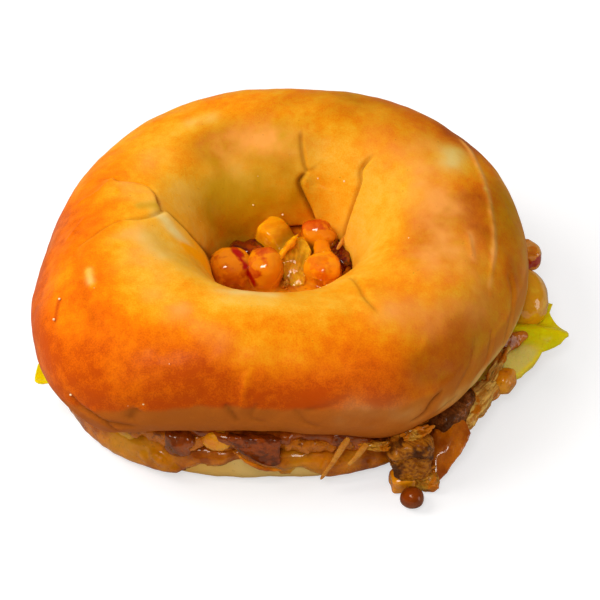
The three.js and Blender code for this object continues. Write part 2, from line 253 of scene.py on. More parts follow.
def woven(rows: int, columns: int, closed: bool) -> Array:
    """Triangles of a grid of points that closes around its columns.

    Args:
        rows: How many rows of points there are.
        columns: How many points a row has.
        closed: Whether the last row joins the first as well.

    Returns:
        The triangles as rows of three point numbers.
    """
    i, j = np.meshgrid(np.arange(rows if closed else rows - 1), np.arange(columns), indexing="ij")
    a = i * columns + j
    b = i * columns + (j + 1) % columns
    c = (i + 1) % rows * columns + (j + 1) % columns
    d = (i + 1) % rows * columns + j
    return np.concatenate([np.stack([a, b, c], -1).reshape(-1, 3), np.stack([a, c, d], -1).reshape(-1, 3)])


def ring_solid(loop: Array) -> Solid:
    """A closed ring from rows of points that go around its section, outer side going up."""
    rows, columns = loop.shape[:2]
    return Solid(loop.reshape(-1, 3).copy(), woven(rows, columns, True))


def between_rows(loop: Array) -> Array:
    """For each row of a closed loop, the middle of the two rows beside it."""
    return 0.5 * (np.roll(loop, 1, axis=0) + np.roll(loop, -1, axis=0))


def capped_solid(rows: Array, start: Array, end: Array) -> Solid:
    """A closed form from one end point through rows of points to the other end point."""
    count, columns = rows.shape[:2]
    points = np.vstack([rows.reshape(-1, 3), start, end])
    j = np.arange(columns)
    after = (j + 1) % columns
    last = (count - 1) * columns
    foot = np.stack([np.full(columns, len(points) - 2), after, j], -1)
    head = np.stack([last + j, last + after, np.full(columns, len(points) - 1)], -1)
    return Solid(points, np.concatenate([woven(count, columns, False), foot, head]))


def ball_points(level: int) -> tuple[Array, Array]:
    """The points and triangles of a ball of radius 1.

    Args:
        level: How often the ball's faces are split.

    Returns:
        The points and the triangles.
    """
    form = bmesh.new()
    bmesh.ops.create_icosphere(form, subdivisions=level, radius=1.0)
    points = np.array([vertex.co[:] for vertex in form.verts])
    faces = np.array([[vertex.index for vertex in face.verts] for face in form.faces])
    form.free()
    return points, faces


def lump_solid(half: Sequence[float], square: float, level: int) -> Solid:
    """A rounded lump around the origin.

    Args:
        half: Half its size along each axis.
        square: How square it is: 2 is an ellipsoid, 6 nearly a block.
        level: How fine its mesh is.

    Returns:
        The lump.
    """
    points, faces = ball_points(level)
    spread = np.sum(np.abs(points) ** square, axis=1, keepdims=True) ** (1.0 / square)
    return Solid(points / spread * np.asarray(half, float), faces)


def joined(solids: Sequence[Solid]) -> Solid:
    """Several solids as one mesh, with the masks that all of them have."""
    starts = np.cumsum([0] + [len(solid.points) for solid in solids[:-1]])
    shared = set.intersection(*(set(solid.masks) for solid in solids))
    return Solid(
        np.vstack([solid.points for solid in solids]),
        np.vstack([solid.faces + start for solid, start in zip(solids, starts)]),
        {key: np.concatenate([solid.masks[key] for solid in solids]) for key in sorted(shared)},
    )


def turned(points: Array, turn: float, tilt: float) -> Array:
    """Points turned about Z, after a tilt about their own Y."""
    spin = Euler((0.0, 0.0, math.radians(turn))).to_matrix()
    return points @ np.array(spin @ Euler((0.0, math.radians(tilt), 0.0)).to_matrix()).T


def remeshed(solid: Solid, voxel: float, passes: int) -> Solid:
    """One smooth skin around everything in a solid.

    Args:
        solid: The solid, whose parts may cross each other.
        voxel: The size of the cells that find the skin.
        passes: How often it is smoothed.

    Returns:
        The skin, without masks.
    """
    holder = bpy.data.objects.new("holder", solid.mesh("holder"))
    bpy.context.scene.collection.objects.link(holder)
    skin = holder.modifiers.new("skin", "REMESH")
    skin.mode = "VOXEL"
    skin.voxel_size = voxel * MM
    relax = holder.modifiers.new("relax", "SMOOTH")
    relax.factor = 0.6
    relax.iterations = passes
    graph = bpy.context.evaluated_depsgraph_get()
    mesh = bpy.data.meshes.new_from_object(holder.evaluated_get(graph))
    bpy.data.objects.remove(holder)
    mesh.calc_loop_triangles()
    points = np.empty(3 * len(mesh.vertices), np.float32)
    mesh.vertices.foreach_get("co", points)
    faces = np.empty(3 * len(mesh.loop_triangles), np.int32)
    mesh.loop_triangles.foreach_get("vertices", faces)
    return Solid(points.reshape(-1, 3).astype(float) / MM - RING_CENTRE, faces.reshape(-1, 3).astype(int))


@dataclass(frozen=True)
class Ribbon:
    """A strand, strip or flap that follows a path with a rounded section."""

    path: Sequence[Spot]
    widths: Sequence[float]
    thicknesses: Sequence[float]
    facing: Spot = (0.0, -1.0, 0.3)
    square: float = 2.4
    steps: int = 60
    around: int = 20

    def solid(self) -> Solid:
        """The ribbon with rounded ends."""
        line = smooth_path(self.path, self.steps)
        ahead = np.gradient(line, axis=0)
        ahead /= np.linalg.norm(ahead, axis=1, keepdims=True)
        side = np.cross(ahead, np.asarray(self.facing))
        side /= np.linalg.norm(side, axis=1, keepdims=True)
        out = np.cross(side, ahead)
        share = np.linspace(0.0, 1.0, self.steps)
        knots = np.linspace(0.0, 1.0, len(self.widths))
        ends = np.sqrt(np.clip(1.0 - np.abs(2.0 * share - 1.0) ** 10, 0.0, 1.0)) + 0.02
        width = 0.5 * np.interp(share, knots, self.widths) * ends
        thick = 0.5 * np.interp(share, knots, self.thicknesses) * ends
        turn = np.linspace(0.0, 2.0 * np.pi, self.around, endpoint=False)
        power = 2.0 / self.square
        u = np.sign(np.cos(turn)) * np.abs(np.cos(turn)) ** power
        v = np.sign(np.sin(turn)) * np.abs(np.sin(turn)) ** power
        rows = (
            line[:, None]
            + side[:, None] * (width[:, None] * u)[..., None]
            + out[:, None] * (thick[:, None] * v)[..., None]
        )
        form = capped_solid(rows[:, ::-1], line[:1], line[-1:])
        form.masks["along"] = np.append(np.repeat(share, self.around), [0.0, 1.0])
        return form


def show(name: str, form: Solid, material: bpy.types.Material, slot: str, *nodes: str) -> None:
    """Puts a solid in the scene as a piece that rides on the part.

    Args:
        name: The piece's name.
        form: Its form.
        material: Its finish.
        slot: The name of a material slot in the record; not used.
        nodes: The nodes of the frame that it stands for.
    """
    mesh = form.mesh(name)
    piece = bpy.data.objects.new(name, mesh)
    bpy.context.scene.collection.objects.link(piece)
    mesh.materials.append(material)
    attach(piece, "root")
    for node in nodes:
        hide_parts(node)
    LOG.info("%s: %d faces", name, len(mesh.polygons))


# --------------------------------------------------------------------------------------- shader effects


@dataclass
class Graph:
    """A node tree, with short calls that add nodes and link them."""

    tree: bpy.types.NodeTree

    def node(
        self, kind: str, inputs: dict[str | int, object] | None = None, **settings: object
    ) -> bpy.types.Node:
        """Adds a node.

        Args:
            kind: Blender's name of the node's type.
            inputs: What feeds its sockets, as values or as other nodes' sockets.
            settings: Its other settings.

        Returns:
            The new node.
        """
        node = self.tree.nodes.new(kind)
        for key, value in settings.items():
            setattr(node, key, value)
        for key, value in (inputs or {}).items():
            self.feed(node.inputs[key], value)
        return node

    def feed(self, socket: Socket, value: object) -> None:
        """Links a socket to another one, or sets its own value."""
        if isinstance(value, Socket):
            self.tree.links.new(value, socket)
        else:
            socket.default_value = value

    def mask(self, name: str) -> Socket:
        """A mask that the mesh carries on its points."""
        return self.node("ShaderNodeAttribute", attribute_name=name).outputs["Fac"]

    def place(self) -> Socket:
        """The place on the object in its own frame."""
        return self.node("ShaderNodeTexCoord").outputs["Object"]

    def noise(self, vector: object, scale: object, detail: float = 3.0, roughness: float = 0.5) -> Socket:
        """Noise from 0 to 1."""
        inputs = {"Vector": vector, "Scale": scale, "Detail": detail, "Roughness": roughness}
        return self.node("ShaderNodeTexNoise", inputs).outputs["Fac"]

    def maths(self, operation: str, first: object, second: object = 0.0, clamp: bool = False) -> Socket:
        """One sum of two values."""
        node = self.node("ShaderNodeMath", {0: first, 1: second}, operation=operation, use_clamp=clamp)
        return node.outputs[0]

    def times(self, first: object, second: object) -> Socket:
        """A product."""
        return self.maths("MULTIPLY", first, second)

    def plus(self, first: object, second: object, clamp: bool = False) -> Socket:
        """A sum of two, kept between 0 and 1 on demand."""
        return self.maths("ADD", first, second, clamp)

    def sway(self, value: object, reach: float) -> Socket:
        """A value from 0 to 1 as a swing to both sides of 0."""
        return self.times(self.maths("SUBTRACT", value, 0.5), reach)

    def spread(
        self, value: object, low: float, high: float, to_low: float = 0.0, to_high: float = 1.0
    ) -> Socket:
        """A value's range mapped smoothly to another range."""
        inputs = {"Value": value, "From Min": low, "From Max": high, "To Min": to_low, "To Max": to_high}
        return self.node("ShaderNodeMapRange", inputs, interpolation_type="SMOOTHSTEP").outputs["Result"]

    def tint(self, share: object, low: object, high: object, blend_type: str = "MIX") -> Socket:
        """A mix of two colours."""
        node = self.node("ShaderNodeMix", data_type="RGBA", blend_type=blend_type)
        self.feed(node.inputs[0], share)
        self.feed(node.inputs[6], low if isinstance(low, Socket) else (*low, 1.0))
        self.feed(node.inputs[7], high if isinstance(high, Socket) else (*high, 1.0))
        return node.outputs[2]

    def ramp(self, value: object, stops: Sequence[tuple[float, Colour]]) -> Socket:
        """A colour ramp through the stops."""
        node = self.node("ShaderNodeValToRGB", {"Fac": value})
        elements = node.color_ramp.elements
        while len(elements) < len(stops):
            elements.new(1.0)
        for element, (position, colour) in zip(elements, stops):
            element.position = position
            element.color = (*colour, 1.0)
        return node.outputs["Color"]

    def relief(self, height: object, depth_mm: float, under: object = None) -> Socket:
        """A bump whose full height is a depth in millimetres."""
        inputs = {"Height": height, "Strength": 1.0, "Distance": depth_mm * MM}
        if under is not None:
            inputs["Normal"] = under
        return self.node("ShaderNodeBump", inputs).outputs["Normal"]


def srgb(red: float, green: float, blue: float) -> Colour:
    """A linear colour from one given in 0 to 255 display values."""
    shares = (red / 255, green / 255, blue / 255)
    return tuple(v / 12.92 if v <= 0.04045 else ((v + 0.055) / 1.055) ** 2.4 for v in shares)


class Effect(Enum):
    """The shader effects that several finishes share."""

    MOTTLE = "Mottle"
    PORES = "Pores"
    FIBRES = "Fibres"
    WET_FILM = "Wet film"


class Effects:
    """Builds each shared effect once, as a node group, and places it in materials."""

    def __init__(self) -> None:
        """Starts with no groups built."""
        makers: dict[Effect, Callable[[], bpy.types.NodeTree]] = {
            Effect.MOTTLE: self._mottle,
            Effect.PORES: self._pores,
            Effect.FIBRES: self._fibres,
            Effect.WET_FILM: self._wet_film,
        }
        self.groups = {effect: make() for effect, make in makers.items()}

    def use(self, graph: Graph, effect: Effect, **inputs: object) -> bpy.types.Node:
        """Places an effect in a material.

        Args:
            graph: The material's graph.
            effect: Which effect.
            inputs: Values for the group's inputs, by name with _ for a space.

        Returns:
            The group node.
        """
        node = graph.node("ShaderNodeGroup", node_tree=self.groups[effect])
        for key, value in inputs.items():
            graph.feed(node.inputs[key.replace("_", " ")], value)
        return node

    def patches(self, graph: Graph, size: float, contrast: float) -> Socket:
        """Soft patches from 0 to 1."""
        return self.use(graph, Effect.MOTTLE, Size=size, Contrast=contrast).outputs["Patches"]

    def _group(
        self, effect: Effect, inputs: dict[str, float], outputs: Sequence[str]
    ) -> tuple[Graph, dict[str, Socket], Socket, bpy.types.Node]:
        """An empty group with its sockets.

        Args:
            effect: Which effect it holds.
            inputs: The inputs' names and default values, with a Size in millimetres among them.
            outputs: The outputs' names.

        Returns:
            Its graph, its input sockets by name, the scale that gives its size, and its output node.
        """
        tree = bpy.data.node_groups.new(effect.value, "ShaderNodeTree")
        for name, value in inputs.items():
            socket = tree.interface.new_socket(name, in_out="INPUT", socket_type="NodeSocketFloat")
            socket.default_value = value
        for name in outputs:
            tree.interface.new_socket(name, in_out="OUTPUT", socket_type="NodeSocketFloat")
        graph = Graph(tree)
        entry = graph.node("NodeGroupInput")
        given = {name: entry.outputs[name] for name in inputs}
        scale = graph.maths("DIVIDE", 1.0 / MM, given["Size"])
        return graph, given, scale, graph.node("NodeGroupOutput")

    def _mottle(self) -> bpy.types.NodeTree:
        """Soft patches with freckles in them."""
        inputs = {"Size": 8.0, "Contrast": 1.0}
        graph, given, scale, leave = self._group(Effect.MOTTLE, inputs, ["Patches", "Freckles"])
        place = graph.place()
        wide = graph.noise(place, scale, 4.0, 0.55)
        fine = graph.noise(place, graph.times(scale, 7.0), 3.0, 0.6)
        centred = graph.maths("SUBTRACT", wide, 0.5)
        stronger = graph.times(centred, graph.times(given["Contrast"], 2.2))
        graph.feed(leave.inputs["Patches"], graph.plus(stronger, 0.5, clamp=True))
        graph.feed(leave.inputs["Freckles"], graph.spread(fine, 0.35, 0.68))
        return graph.tree

    def _pores(self) -> bpy.types.NodeTree:
        """The open cells of crumb and the pits of cooked meat."""
        graph, _, scale, leave = self._group(Effect.PORES, {"Size": 1.2}, ["Height", "Pits"])
        place = graph.place()
        cells = graph.node("ShaderNodeTexVoronoi", {"Vector": place, "Scale": scale}).outputs["Distance"]
        rough = graph.noise(place, graph.times(scale, 1.7), 5.0, 0.6)
        pits = graph.spread(graph.plus(cells, graph.times(rough, 0.5)), 0.30, 0.75)
        graph.feed(leave.inputs["Height"], graph.plus(pits, graph.times(rough, 0.6)))
        graph.feed(leave.inputs["Pits"], graph.maths("SUBTRACT", 1.0, pits))
        return graph.tree

    def _fibres(self) -> bpy.types.NodeTree:
        """Long thin strands that lie one way."""
        inputs = {"Size": 0.8, "Turn": 0.0, "Stretch": 9.0}
        graph, given, scale, leave = self._group(Effect.FIBRES, inputs, ["Height", "Strands"])
        place = {"Vector": graph.place(), "Angle": given["Turn"]}
        spin = graph.node("ShaderNodeVectorRotate", place, rotation_type="Z_AXIS")
        parts = graph.node("ShaderNodeSeparateXYZ", {"Vector": spin.outputs["Vector"]}).outputs
        shorter = graph.maths("DIVIDE", parts["X"], given["Stretch"])
        drawn = graph.node("ShaderNodeCombineXYZ", {"X": shorter, "Y": parts["Y"], "Z": parts["Z"]})
        strands = graph.noise(drawn.outputs["Vector"], scale, 4.0, 0.6)
        graph.feed(leave.inputs["Height"], strands)
        graph.feed(leave.inputs["Strands"], graph.spread(strands, 0.38, 0.62))
        return graph.tree

    def _wet_film(self) -> bpy.types.NodeTree:
        """A wet film: how rough it is from place to place, and its slow ripples."""
        inputs = {"Size": 3.0, "Smoothest": 0.12, "Roughest": 0.4}
        graph, given, scale, leave = self._group(Effect.WET_FILM, inputs, ["Roughness", "Height"])
        place = graph.place()
        drying = graph.spread(graph.noise(place, scale, 3.0, 0.5), 0.35, 0.7)
        span = graph.maths("SUBTRACT", given["Roughest"], given["Smoothest"])
        rough = graph.plus(given["Smoothest"], graph.times(drying, span))
        graph.feed(leave.inputs["Roughness"], rough)
        graph.feed(leave.inputs["Height"], graph.noise(place, graph.times(scale, 1.6), 3.0, 0.45))
        return graph.tree


# --------------------------------------------------------------------------------------------- finishes


WARM_SHINE = (1.0, 0.72, 0.42)
RED_DEEPEST = (1.0, 0.4, 0.1)


class Finish:
    """What the finishes share: a material with a Principled shader."""

    name: str = "finish"

    def build(self, effects: Effects) -> bpy.types.Material:
        """Makes the material.

        Args:
            effects: The shared effects.

        Returns:
            The material, with its graph filled in by paint.
        """
        material = bpy.data.materials.new(self.name)
        material.use_nodes = True
        graph = Graph(material.node_tree)
        shader = material.node_tree.nodes["Principled BSDF"]
        self.paint(graph, shader, effects)
        return material

    def paint(self, graph: Graph, shader: bpy.types.Node, effects: Effects) -> None:
        """Fills in the graph; each finish has its own."""
        raise NotImplementedError

    def lay(
        self, graph: Graph, shader: bpy.types.Node, colour: Socket, rough: Socket, normal: Socket
    ) -> None:
        """Feeds the shader's colour, roughness and normal."""
        for name, socket in (("Base Color", colour), ("Roughness", rough), ("Normal", normal)):
            graph.feed(shader.inputs[name], socket)

    def shine(self, shader: bpy.types.Node, level: float, coat: float, blur: float, wet: float = 1.5) -> None:
        """Sets how the surface reflects.

        Args:
            shader: The material's shader.
            level: The strength of its own reflection, which is warm.
            coat: The weight of the clear coat.
            blur: The coat's roughness.
            wet: The coat's index of refraction; a higher one gives brighter lights.
        """
        shader.inputs["Specular IOR Level"].default_value = level
        shader.inputs["Specular Tint"].default_value = (*WARM_SHINE, 1.0)
        shader.inputs["Coat Weight"].default_value = coat
        shader.inputs["Coat Roughness"].default_value = blur
        shader.inputs["Coat IOR"].default_value = wet

    def glow(self, shader: bpy.types.Node, weight: float, depth: float) -> None:
        """Lets light through below the surface.

        Args:
            shader: The material's shader.
            weight: How much of the light goes through.
            depth: How deep red light goes, in millimetres.
        """
        shader.inputs["Subsurface Weight"].default_value = weight
        shader.inputs["Subsurface Radius"].default_value = RED_DEEPEST
        shader.inputs["Subsurface Scale"].default_value = depth * MM


@dataclass(frozen=True)
class CrustFinish(Finish):
    """Baked crust, from pale dough to deep brown, with crumb where it is cut."""

    name: str = "baked_crust"
    stops: tuple[tuple[float, Colour], ...] = (
        (0.00, (0.84, 0.46, 0.060)),
        (0.15, (0.85, 0.42, 0.030)),
        (0.30, (0.85, 0.36, 0.012)),
        (0.45, (0.84, 0.28, 0.003)),
        (0.60, (0.82, 0.20, 0.001)),
        (0.80, (0.72, 0.130, 0.001)),
        (1.00, (0.53, 0.068, 0.001)),
    )
    # Multiplied in by the olive-and-shade mask: an olive tone, and painted shade on the hole's walls, the
    # right side and beside the ridge.
    olive: Colour = (0.58, 0.56, 0.08)
    band: Colour = (0.47, 0.137, 0.014)
    # Pinkish colour of painted sheen on the crown; on the heel a faint blush of its pale side.
    bloom: Colour = (0.84, 0.34, 0.070)
    crumb: Colour = srgb(232, 196, 120)
    crumb_deep: Colour = srgb(196, 144, 66)
    # Dark brown of the painted shade in the creases; the random dark flecks use it too.
    crease: Colour = srgb(104, 48, 4)
    smear: Colour = srgb(176, 50, 4)
    sauce: Colour = srgb(252, 166, 6)
    # Pale colour: the pale dough, and on the crown's lower right rim and along the ridge a painted sheen.
    cream: Colour = (0.79, 0.58, 0.20)

    def paint(self, graph: Graph, shader: bpy.types.Node, effects: Effects) -> None:
        """Crust colour from its masks, painted sheen and shade among them, a soft shine, and fine wrinkles.
        """
        broad = effects.use(graph, Effect.MOTTLE, Size=9.0, Contrast=1.1)
        close = effects.use(graph, Effect.MOTTLE, Size=2.4, Contrast=1.5)
        toast = graph.plus(graph.mask("toast"), graph.sway(broad.outputs["Patches"], 0.20))
        for output in ("Freckles", "Patches"):
            toast = graph.plus(toast, graph.sway(close.outputs[output], 0.15))
        colour = graph.ramp(toast, self.stops)
        # Pale dough, and painted sheen on the rim and along the ridge.
        colour = graph.tint(graph.mask("cream"), colour, self.cream)
        # Olive tone and painted shade, multiplied in.
        colour = graph.tint(graph.mask("olive"), colour, self.olive, "MULTIPLY")
        # Painted sheen: a pinkish reflection laid into the colour.
        colour = graph.tint(graph.times(graph.mask("bloom"), 0.8), colour, self.bloom)
        colour = graph.tint(graph.times(graph.mask("band"), 0.86), colour, self.band)
        colour = graph.tint(graph.mask("smear"), colour, self.smear)
        colour = graph.tint(graph.mask("sauced"), colour, self.sauce)
        flecks = graph.noise(graph.place(), 1.0 / (0.8 * MM), 2.0, 0.5)
        # Painted shade along the folds' creases, together with random dark flecks.
        dark = graph.maths("MAXIMUM", graph.mask("crease"), graph.spread(flecks, 0.70, 0.80, 0.0, 0.4))
        colour = graph.tint(graph.times(dark, 0.85), colour, self.crease)
        pores = effects.use(graph, Effect.PORES, Size=1.3)
        crumb = graph.tint(pores.outputs["Pits"], self.crumb, self.crumb_deep)
        colour = graph.tint(graph.mask("cut"), colour, crumb)
        film = effects.use(graph, Effect.WET_FILM, Size=7.0, Smoothest=0.38, Roughest=0.55)
        dry = graph.maths("MAXIMUM", graph.mask("cut"), graph.times(graph.mask("band"), 0.5))
        rough = graph.plus(film.outputs["Roughness"], graph.times(dry, 0.35), clamp=True)
        skin = graph.relief(graph.noise(graph.place(), 1.0 / (1.1 * MM), 5.0, 0.6), 0.09)
        crumb_height = graph.times(pores.outputs["Height"], graph.mask("cut"))
        self.lay(graph, shader, colour, rough, graph.relief(crumb_height, 0.5, skin))
        self.shine(shader, level=0.10, coat=0.04, blur=0.2)
        self.glow(shader, weight=0.08, depth=1.6)


@dataclass(frozen=True)
class SauceFinish(Finish):
    """Thick orange sauce, wet, with spice and fat in it."""

    name: str = "orange_sauce"
    light: Colour = srgb(234, 142, 8)
    deep: Colour = srgb(190, 88, 1)
    spice: Colour = srgb(130, 50, 4)
    fat: Colour = srgb(226, 156, 10)
    smoothest: float = 0.12
    roughest: float = 0.34
    wet: float = 0.55

    def paint(self, graph: Graph, shader: bpy.types.Node, effects: Effects) -> None:
        """Streaky orange with a wet shine."""
        colour = graph.tint(effects.patches(graph, 5.0, 1.8), self.deep, self.light)
        colour = graph.tint(graph.times(graph.mask("fatty"), 0.8), colour, self.fat)
        specks = graph.spread(effects.patches(graph, 0.9, 1.6), 0.9, 1.0, 0.0, 0.3)
        colour = graph.tint(specks, colour, self.spice)
        film = effects.use(graph, Effect.WET_FILM, Size=2.2, Smoothest=self.smoothest, Roughest=self.roughest)
        self.lay(graph, shader, colour, film.outputs["Roughness"], graph.relief(film.outputs["Height"], 0.2))
        self.shine(shader, level=0.3, coat=self.wet, blur=0.08, wet=1.8)
        self.glow(shader, weight=0.2, depth=1.5)


@dataclass(frozen=True)
class DiceFinish(Finish):
    """Diced vegetable, smeared with sauce."""

    name: str = "dice"
    flesh: Colour = srgb(214, 92, 12)
    deep: Colour = srgb(160, 40, 6)
    sauce: Colour = srgb(230, 134, 10)
    rim: Colour = srgb(236, 166, 80)
    stain: Colour = srgb(176, 16, 3)
    cover: float = 0.6

    def paint(self, graph: Graph, shader: bpy.types.Node, effects: Effects) -> None:
        """Flesh and sauce in soft patches, wet all over."""
        body = graph.tint(effects.patches(graph, 3.0, 1.4), self.deep, self.flesh)
        low = 1.0 - self.cover
        covered = graph.spread(effects.patches(graph, 5.5, 2.2), low - 0.2, low + 0.2)
        colour = graph.tint(graph.mask("rim"), graph.tint(covered, body, self.sauce), self.rim)
        colour = graph.tint(graph.mask("stain"), colour, self.stain)
        film = effects.use(graph, Effect.WET_FILM, Size=2.0, Smoothest=0.08, Roughest=0.26)
        self.lay(graph, shader, colour, film.outputs["Roughness"], graph.relief(film.outputs["Height"], 0.08))
        self.shine(shader, level=0.3, coat=0.8, blur=0.06, wet=1.9)
        self.glow(shader, weight=0.2, depth=2.0)


@dataclass(frozen=True)
class MeatFinish(Finish):
    """Cooked chicken: pale fibres, browned faces and smears of sauce."""

    name: str = "chicken"
    pale: Colour = srgb(206, 148, 70)
    brown: Colour = srgb(158, 88, 22)
    char: Colour = srgb(80, 36, 6)
    sauce: Colour = srgb(206, 114, 8)
    charred: float = 0.25
    sauced: float = 0.35
    turn: float = 0.6
    wet: float = 0.2
    rough: float = 0.3
    grain: float = 0.7

    def paint(self, graph: Graph, shader: bpy.types.Node, effects: Effects) -> None:
        """Fibres that run one way, charred and sauced in patches."""
        fibres = effects.use(graph, Effect.FIBRES, Size=self.grain, Turn=self.turn, Stretch=8.0)
        pits = effects.use(graph, Effect.PORES, Size=0.9)
        colour = graph.tint(fibres.outputs["Strands"], self.brown, self.pale)
        bare, dry = 1.0 - self.charred, 1.0 - self.sauced
        burnt = graph.spread(effects.patches(graph, 5.0, 1.5), bare - 0.25, bare + 0.2)
        coated = graph.spread(effects.patches(graph, 5.0, 1.7), dry - 0.1, dry + 0.12)
        colour = graph.tint(coated, graph.tint(burnt, colour, self.char), self.sauce)
        film = effects.use(graph, Effect.WET_FILM, Size=1.6, Smoothest=0.2, Roughest=0.6)
        strands = graph.relief(fibres.outputs["Height"], self.rough)
        normal = graph.relief(pits.outputs["Height"], 0.5 * self.rough, strands)
        self.lay(graph, shader, colour, film.outputs["Roughness"], normal)
        self.shine(shader, level=0.2, coat=self.wet, blur=0.1, wet=1.7)
        self.glow(shader, weight=0.1, depth=1.2)


@dataclass(frozen=True)
class LeafFinish(Finish):
    """Lettuce: yellow-green blade, pale rib and darker veins."""

    name: str = "lettuce"
    blade: Colour = srgb(248, 222, 3)
    blade_deep: Colour = srgb(236, 206, 1)
    rib: Colour = srgb(228, 208, 104)
    edge: Colour = srgb(244, 214, 20)

    def paint(self, graph: Graph, shader: bpy.types.Node, effects: Effects) -> None:
        """Blade, rib and edge from their masks, moist and a little see-through."""
        cells = effects.use(graph, Effect.PORES, Size=0.8)
        film = effects.use(graph, Effect.WET_FILM, Size=3.0, Smoothest=0.2, Roughest=0.42)
        colour = graph.tint(effects.patches(graph, 5.0, 1.6), self.blade_deep, self.blade)
        colour = graph.tint(graph.times(graph.mask("vein"), 0.35), colour, self.rib)
        colour = graph.tint(graph.mask("rib"), colour, self.rib)
        colour = graph.tint(graph.mask("edge"), colour, self.edge)
        relief = graph.relief(cells.outputs["Height"], 0.07)
        self.lay(graph, shader, colour, film.outputs["Roughness"], relief)
        self.shine(shader, level=0.12, coat=0.06, blur=0.14)
        self.glow(shader, weight=0.5, depth=3.0)


@dataclass(frozen=True)
class SkinFinish(Finish):
    """Onion, celery and melted cheese: pale, ridged along one way, shiny."""

    name: str = "onion"
    light: Colour = srgb(236, 190, 92)
    deep: Colour = srgb(196, 128, 30)
    turn: float = 0.9
    size: float = 1.0
    through: float = 0.3
    hollow: Colour = srgb(176, 124, 6)
    wet: float = 0.7

    def paint(self, graph: Graph, shader: bpy.types.Node, effects: Effects) -> None:
        """Fine ridges with a wet shine."""
        ridges = effects.use(graph, Effect.FIBRES, Size=self.size, Turn=self.turn, Stretch=14.0)
        film = effects.use(graph, Effect.WET_FILM, Size=2.0, Smoothest=0.1, Roughest=0.32)
        mixed = graph.times(graph.plus(ridges.outputs["Strands"], effects.patches(graph, 4.0, 1.5)), 0.5)
        colour = graph.tint(mixed, self.deep, self.light)
        colour = graph.tint(graph.times(graph.mask("trough"), 0.8), colour, self.hollow)
        relief = graph.relief(ridges.outputs["Height"], 0.10)
        self.lay(graph, shader, colour, film.outputs["Roughness"], relief)
        self.shine(shader, level=0.3, coat=self.wet, blur=0.07, wet=1.8)
        self.glow(shader, weight=self.through, depth=2.5)


@dataclass(frozen=True)
class DropletFinish(Finish):
    """Tiny clear beads of fat and water, coloured near-white as painted glints."""

    name: str = "droplets_and_glints"
    light: Colour = srgb(255, 236, 200)
    deep: Colour = srgb(246, 206, 140)

    def paint(self, graph: Graph, shader: bpy.types.Node, effects: Effects) -> None:
        """Near-white as painted glints, and very shiny."""
        colour = graph.tint(effects.patches(graph, 3.0, 1.0), self.deep, self.light)
        graph.feed(shader.inputs["Base Color"], colour)
        shader.inputs["Roughness"].default_value = 0.1
        self.shine(shader, level=0.5, coat=1.0, blur=0.03)


# ------------------------------------------------------------------------------------------------ crown


@dataclass(frozen=True)
class Fold:
    """A fold in the crust: a dent along a path, swollen dough beside it, and painted shade on its line."""

    path: tuple[Place, ...]
    depth: float
    width: float
    left_swell: float = 0.0
    right_swell: float = 0.0
    swell_width: float = 3.0
    # Strength of the painted shade along its line.
    shade: float = 0.6


@dataclass(frozen=True)
class Patch:
    """A soft patch on the crust between two places."""

    start: Place
    end: Place
    spread: float
    strength: float


FOLD_STEPS = 30
FOLD_ENDS = (-0.02, 0.14)


def fade_out(distance: Array, width: float) -> Array:
    """A fold's section: 1 on its line, and less the farther away."""
    return np.exp(-((distance / width) ** 1.6))


def patches(*rows: tuple[float, ...]) -> tuple[Patch, ...]:
    """Patches from rows of two places, a spread and a strength."""
    return tuple(Patch(row[0:2], row[2:4], row[4], row[5]) for row in rows)


CROWN_OUTER = LobedSize(
    55.65, ((1.8, 1, 47.5), (2.65, 2, 15.0), (2.9, 3, -8.3), (2.5, 4, 36.2), (0.6, 5, 12.0), (0.55, 6, -9.7))
)
CROWN_INNER = LobedSize(15.8, ((2.3, 1, 51.0), (1.55, 2, 39.0), (1.6, 3, 22.0)))
CROWN_FACE = LobedSize(16.4, ((1.15, 1, 126.0), (2.9, 2, 57.0), (0.6, 3, 70.0)))
HEEL_OUTER = LobedSize(50.5, ((0.6, 1, 60.0), (1.3, 2, 12.0), (1.1, 3, -17.0), (1.2, 4, 38.5)))
HEEL_TOP = LobedSize(9.2, ((0.8, 1, 126.0), (1.2, 2, 57.0)))
HEEL_HOLE = LobedSize(11.0, ((1.2, 1, 51.0), (1.0, 3, 22.0)))


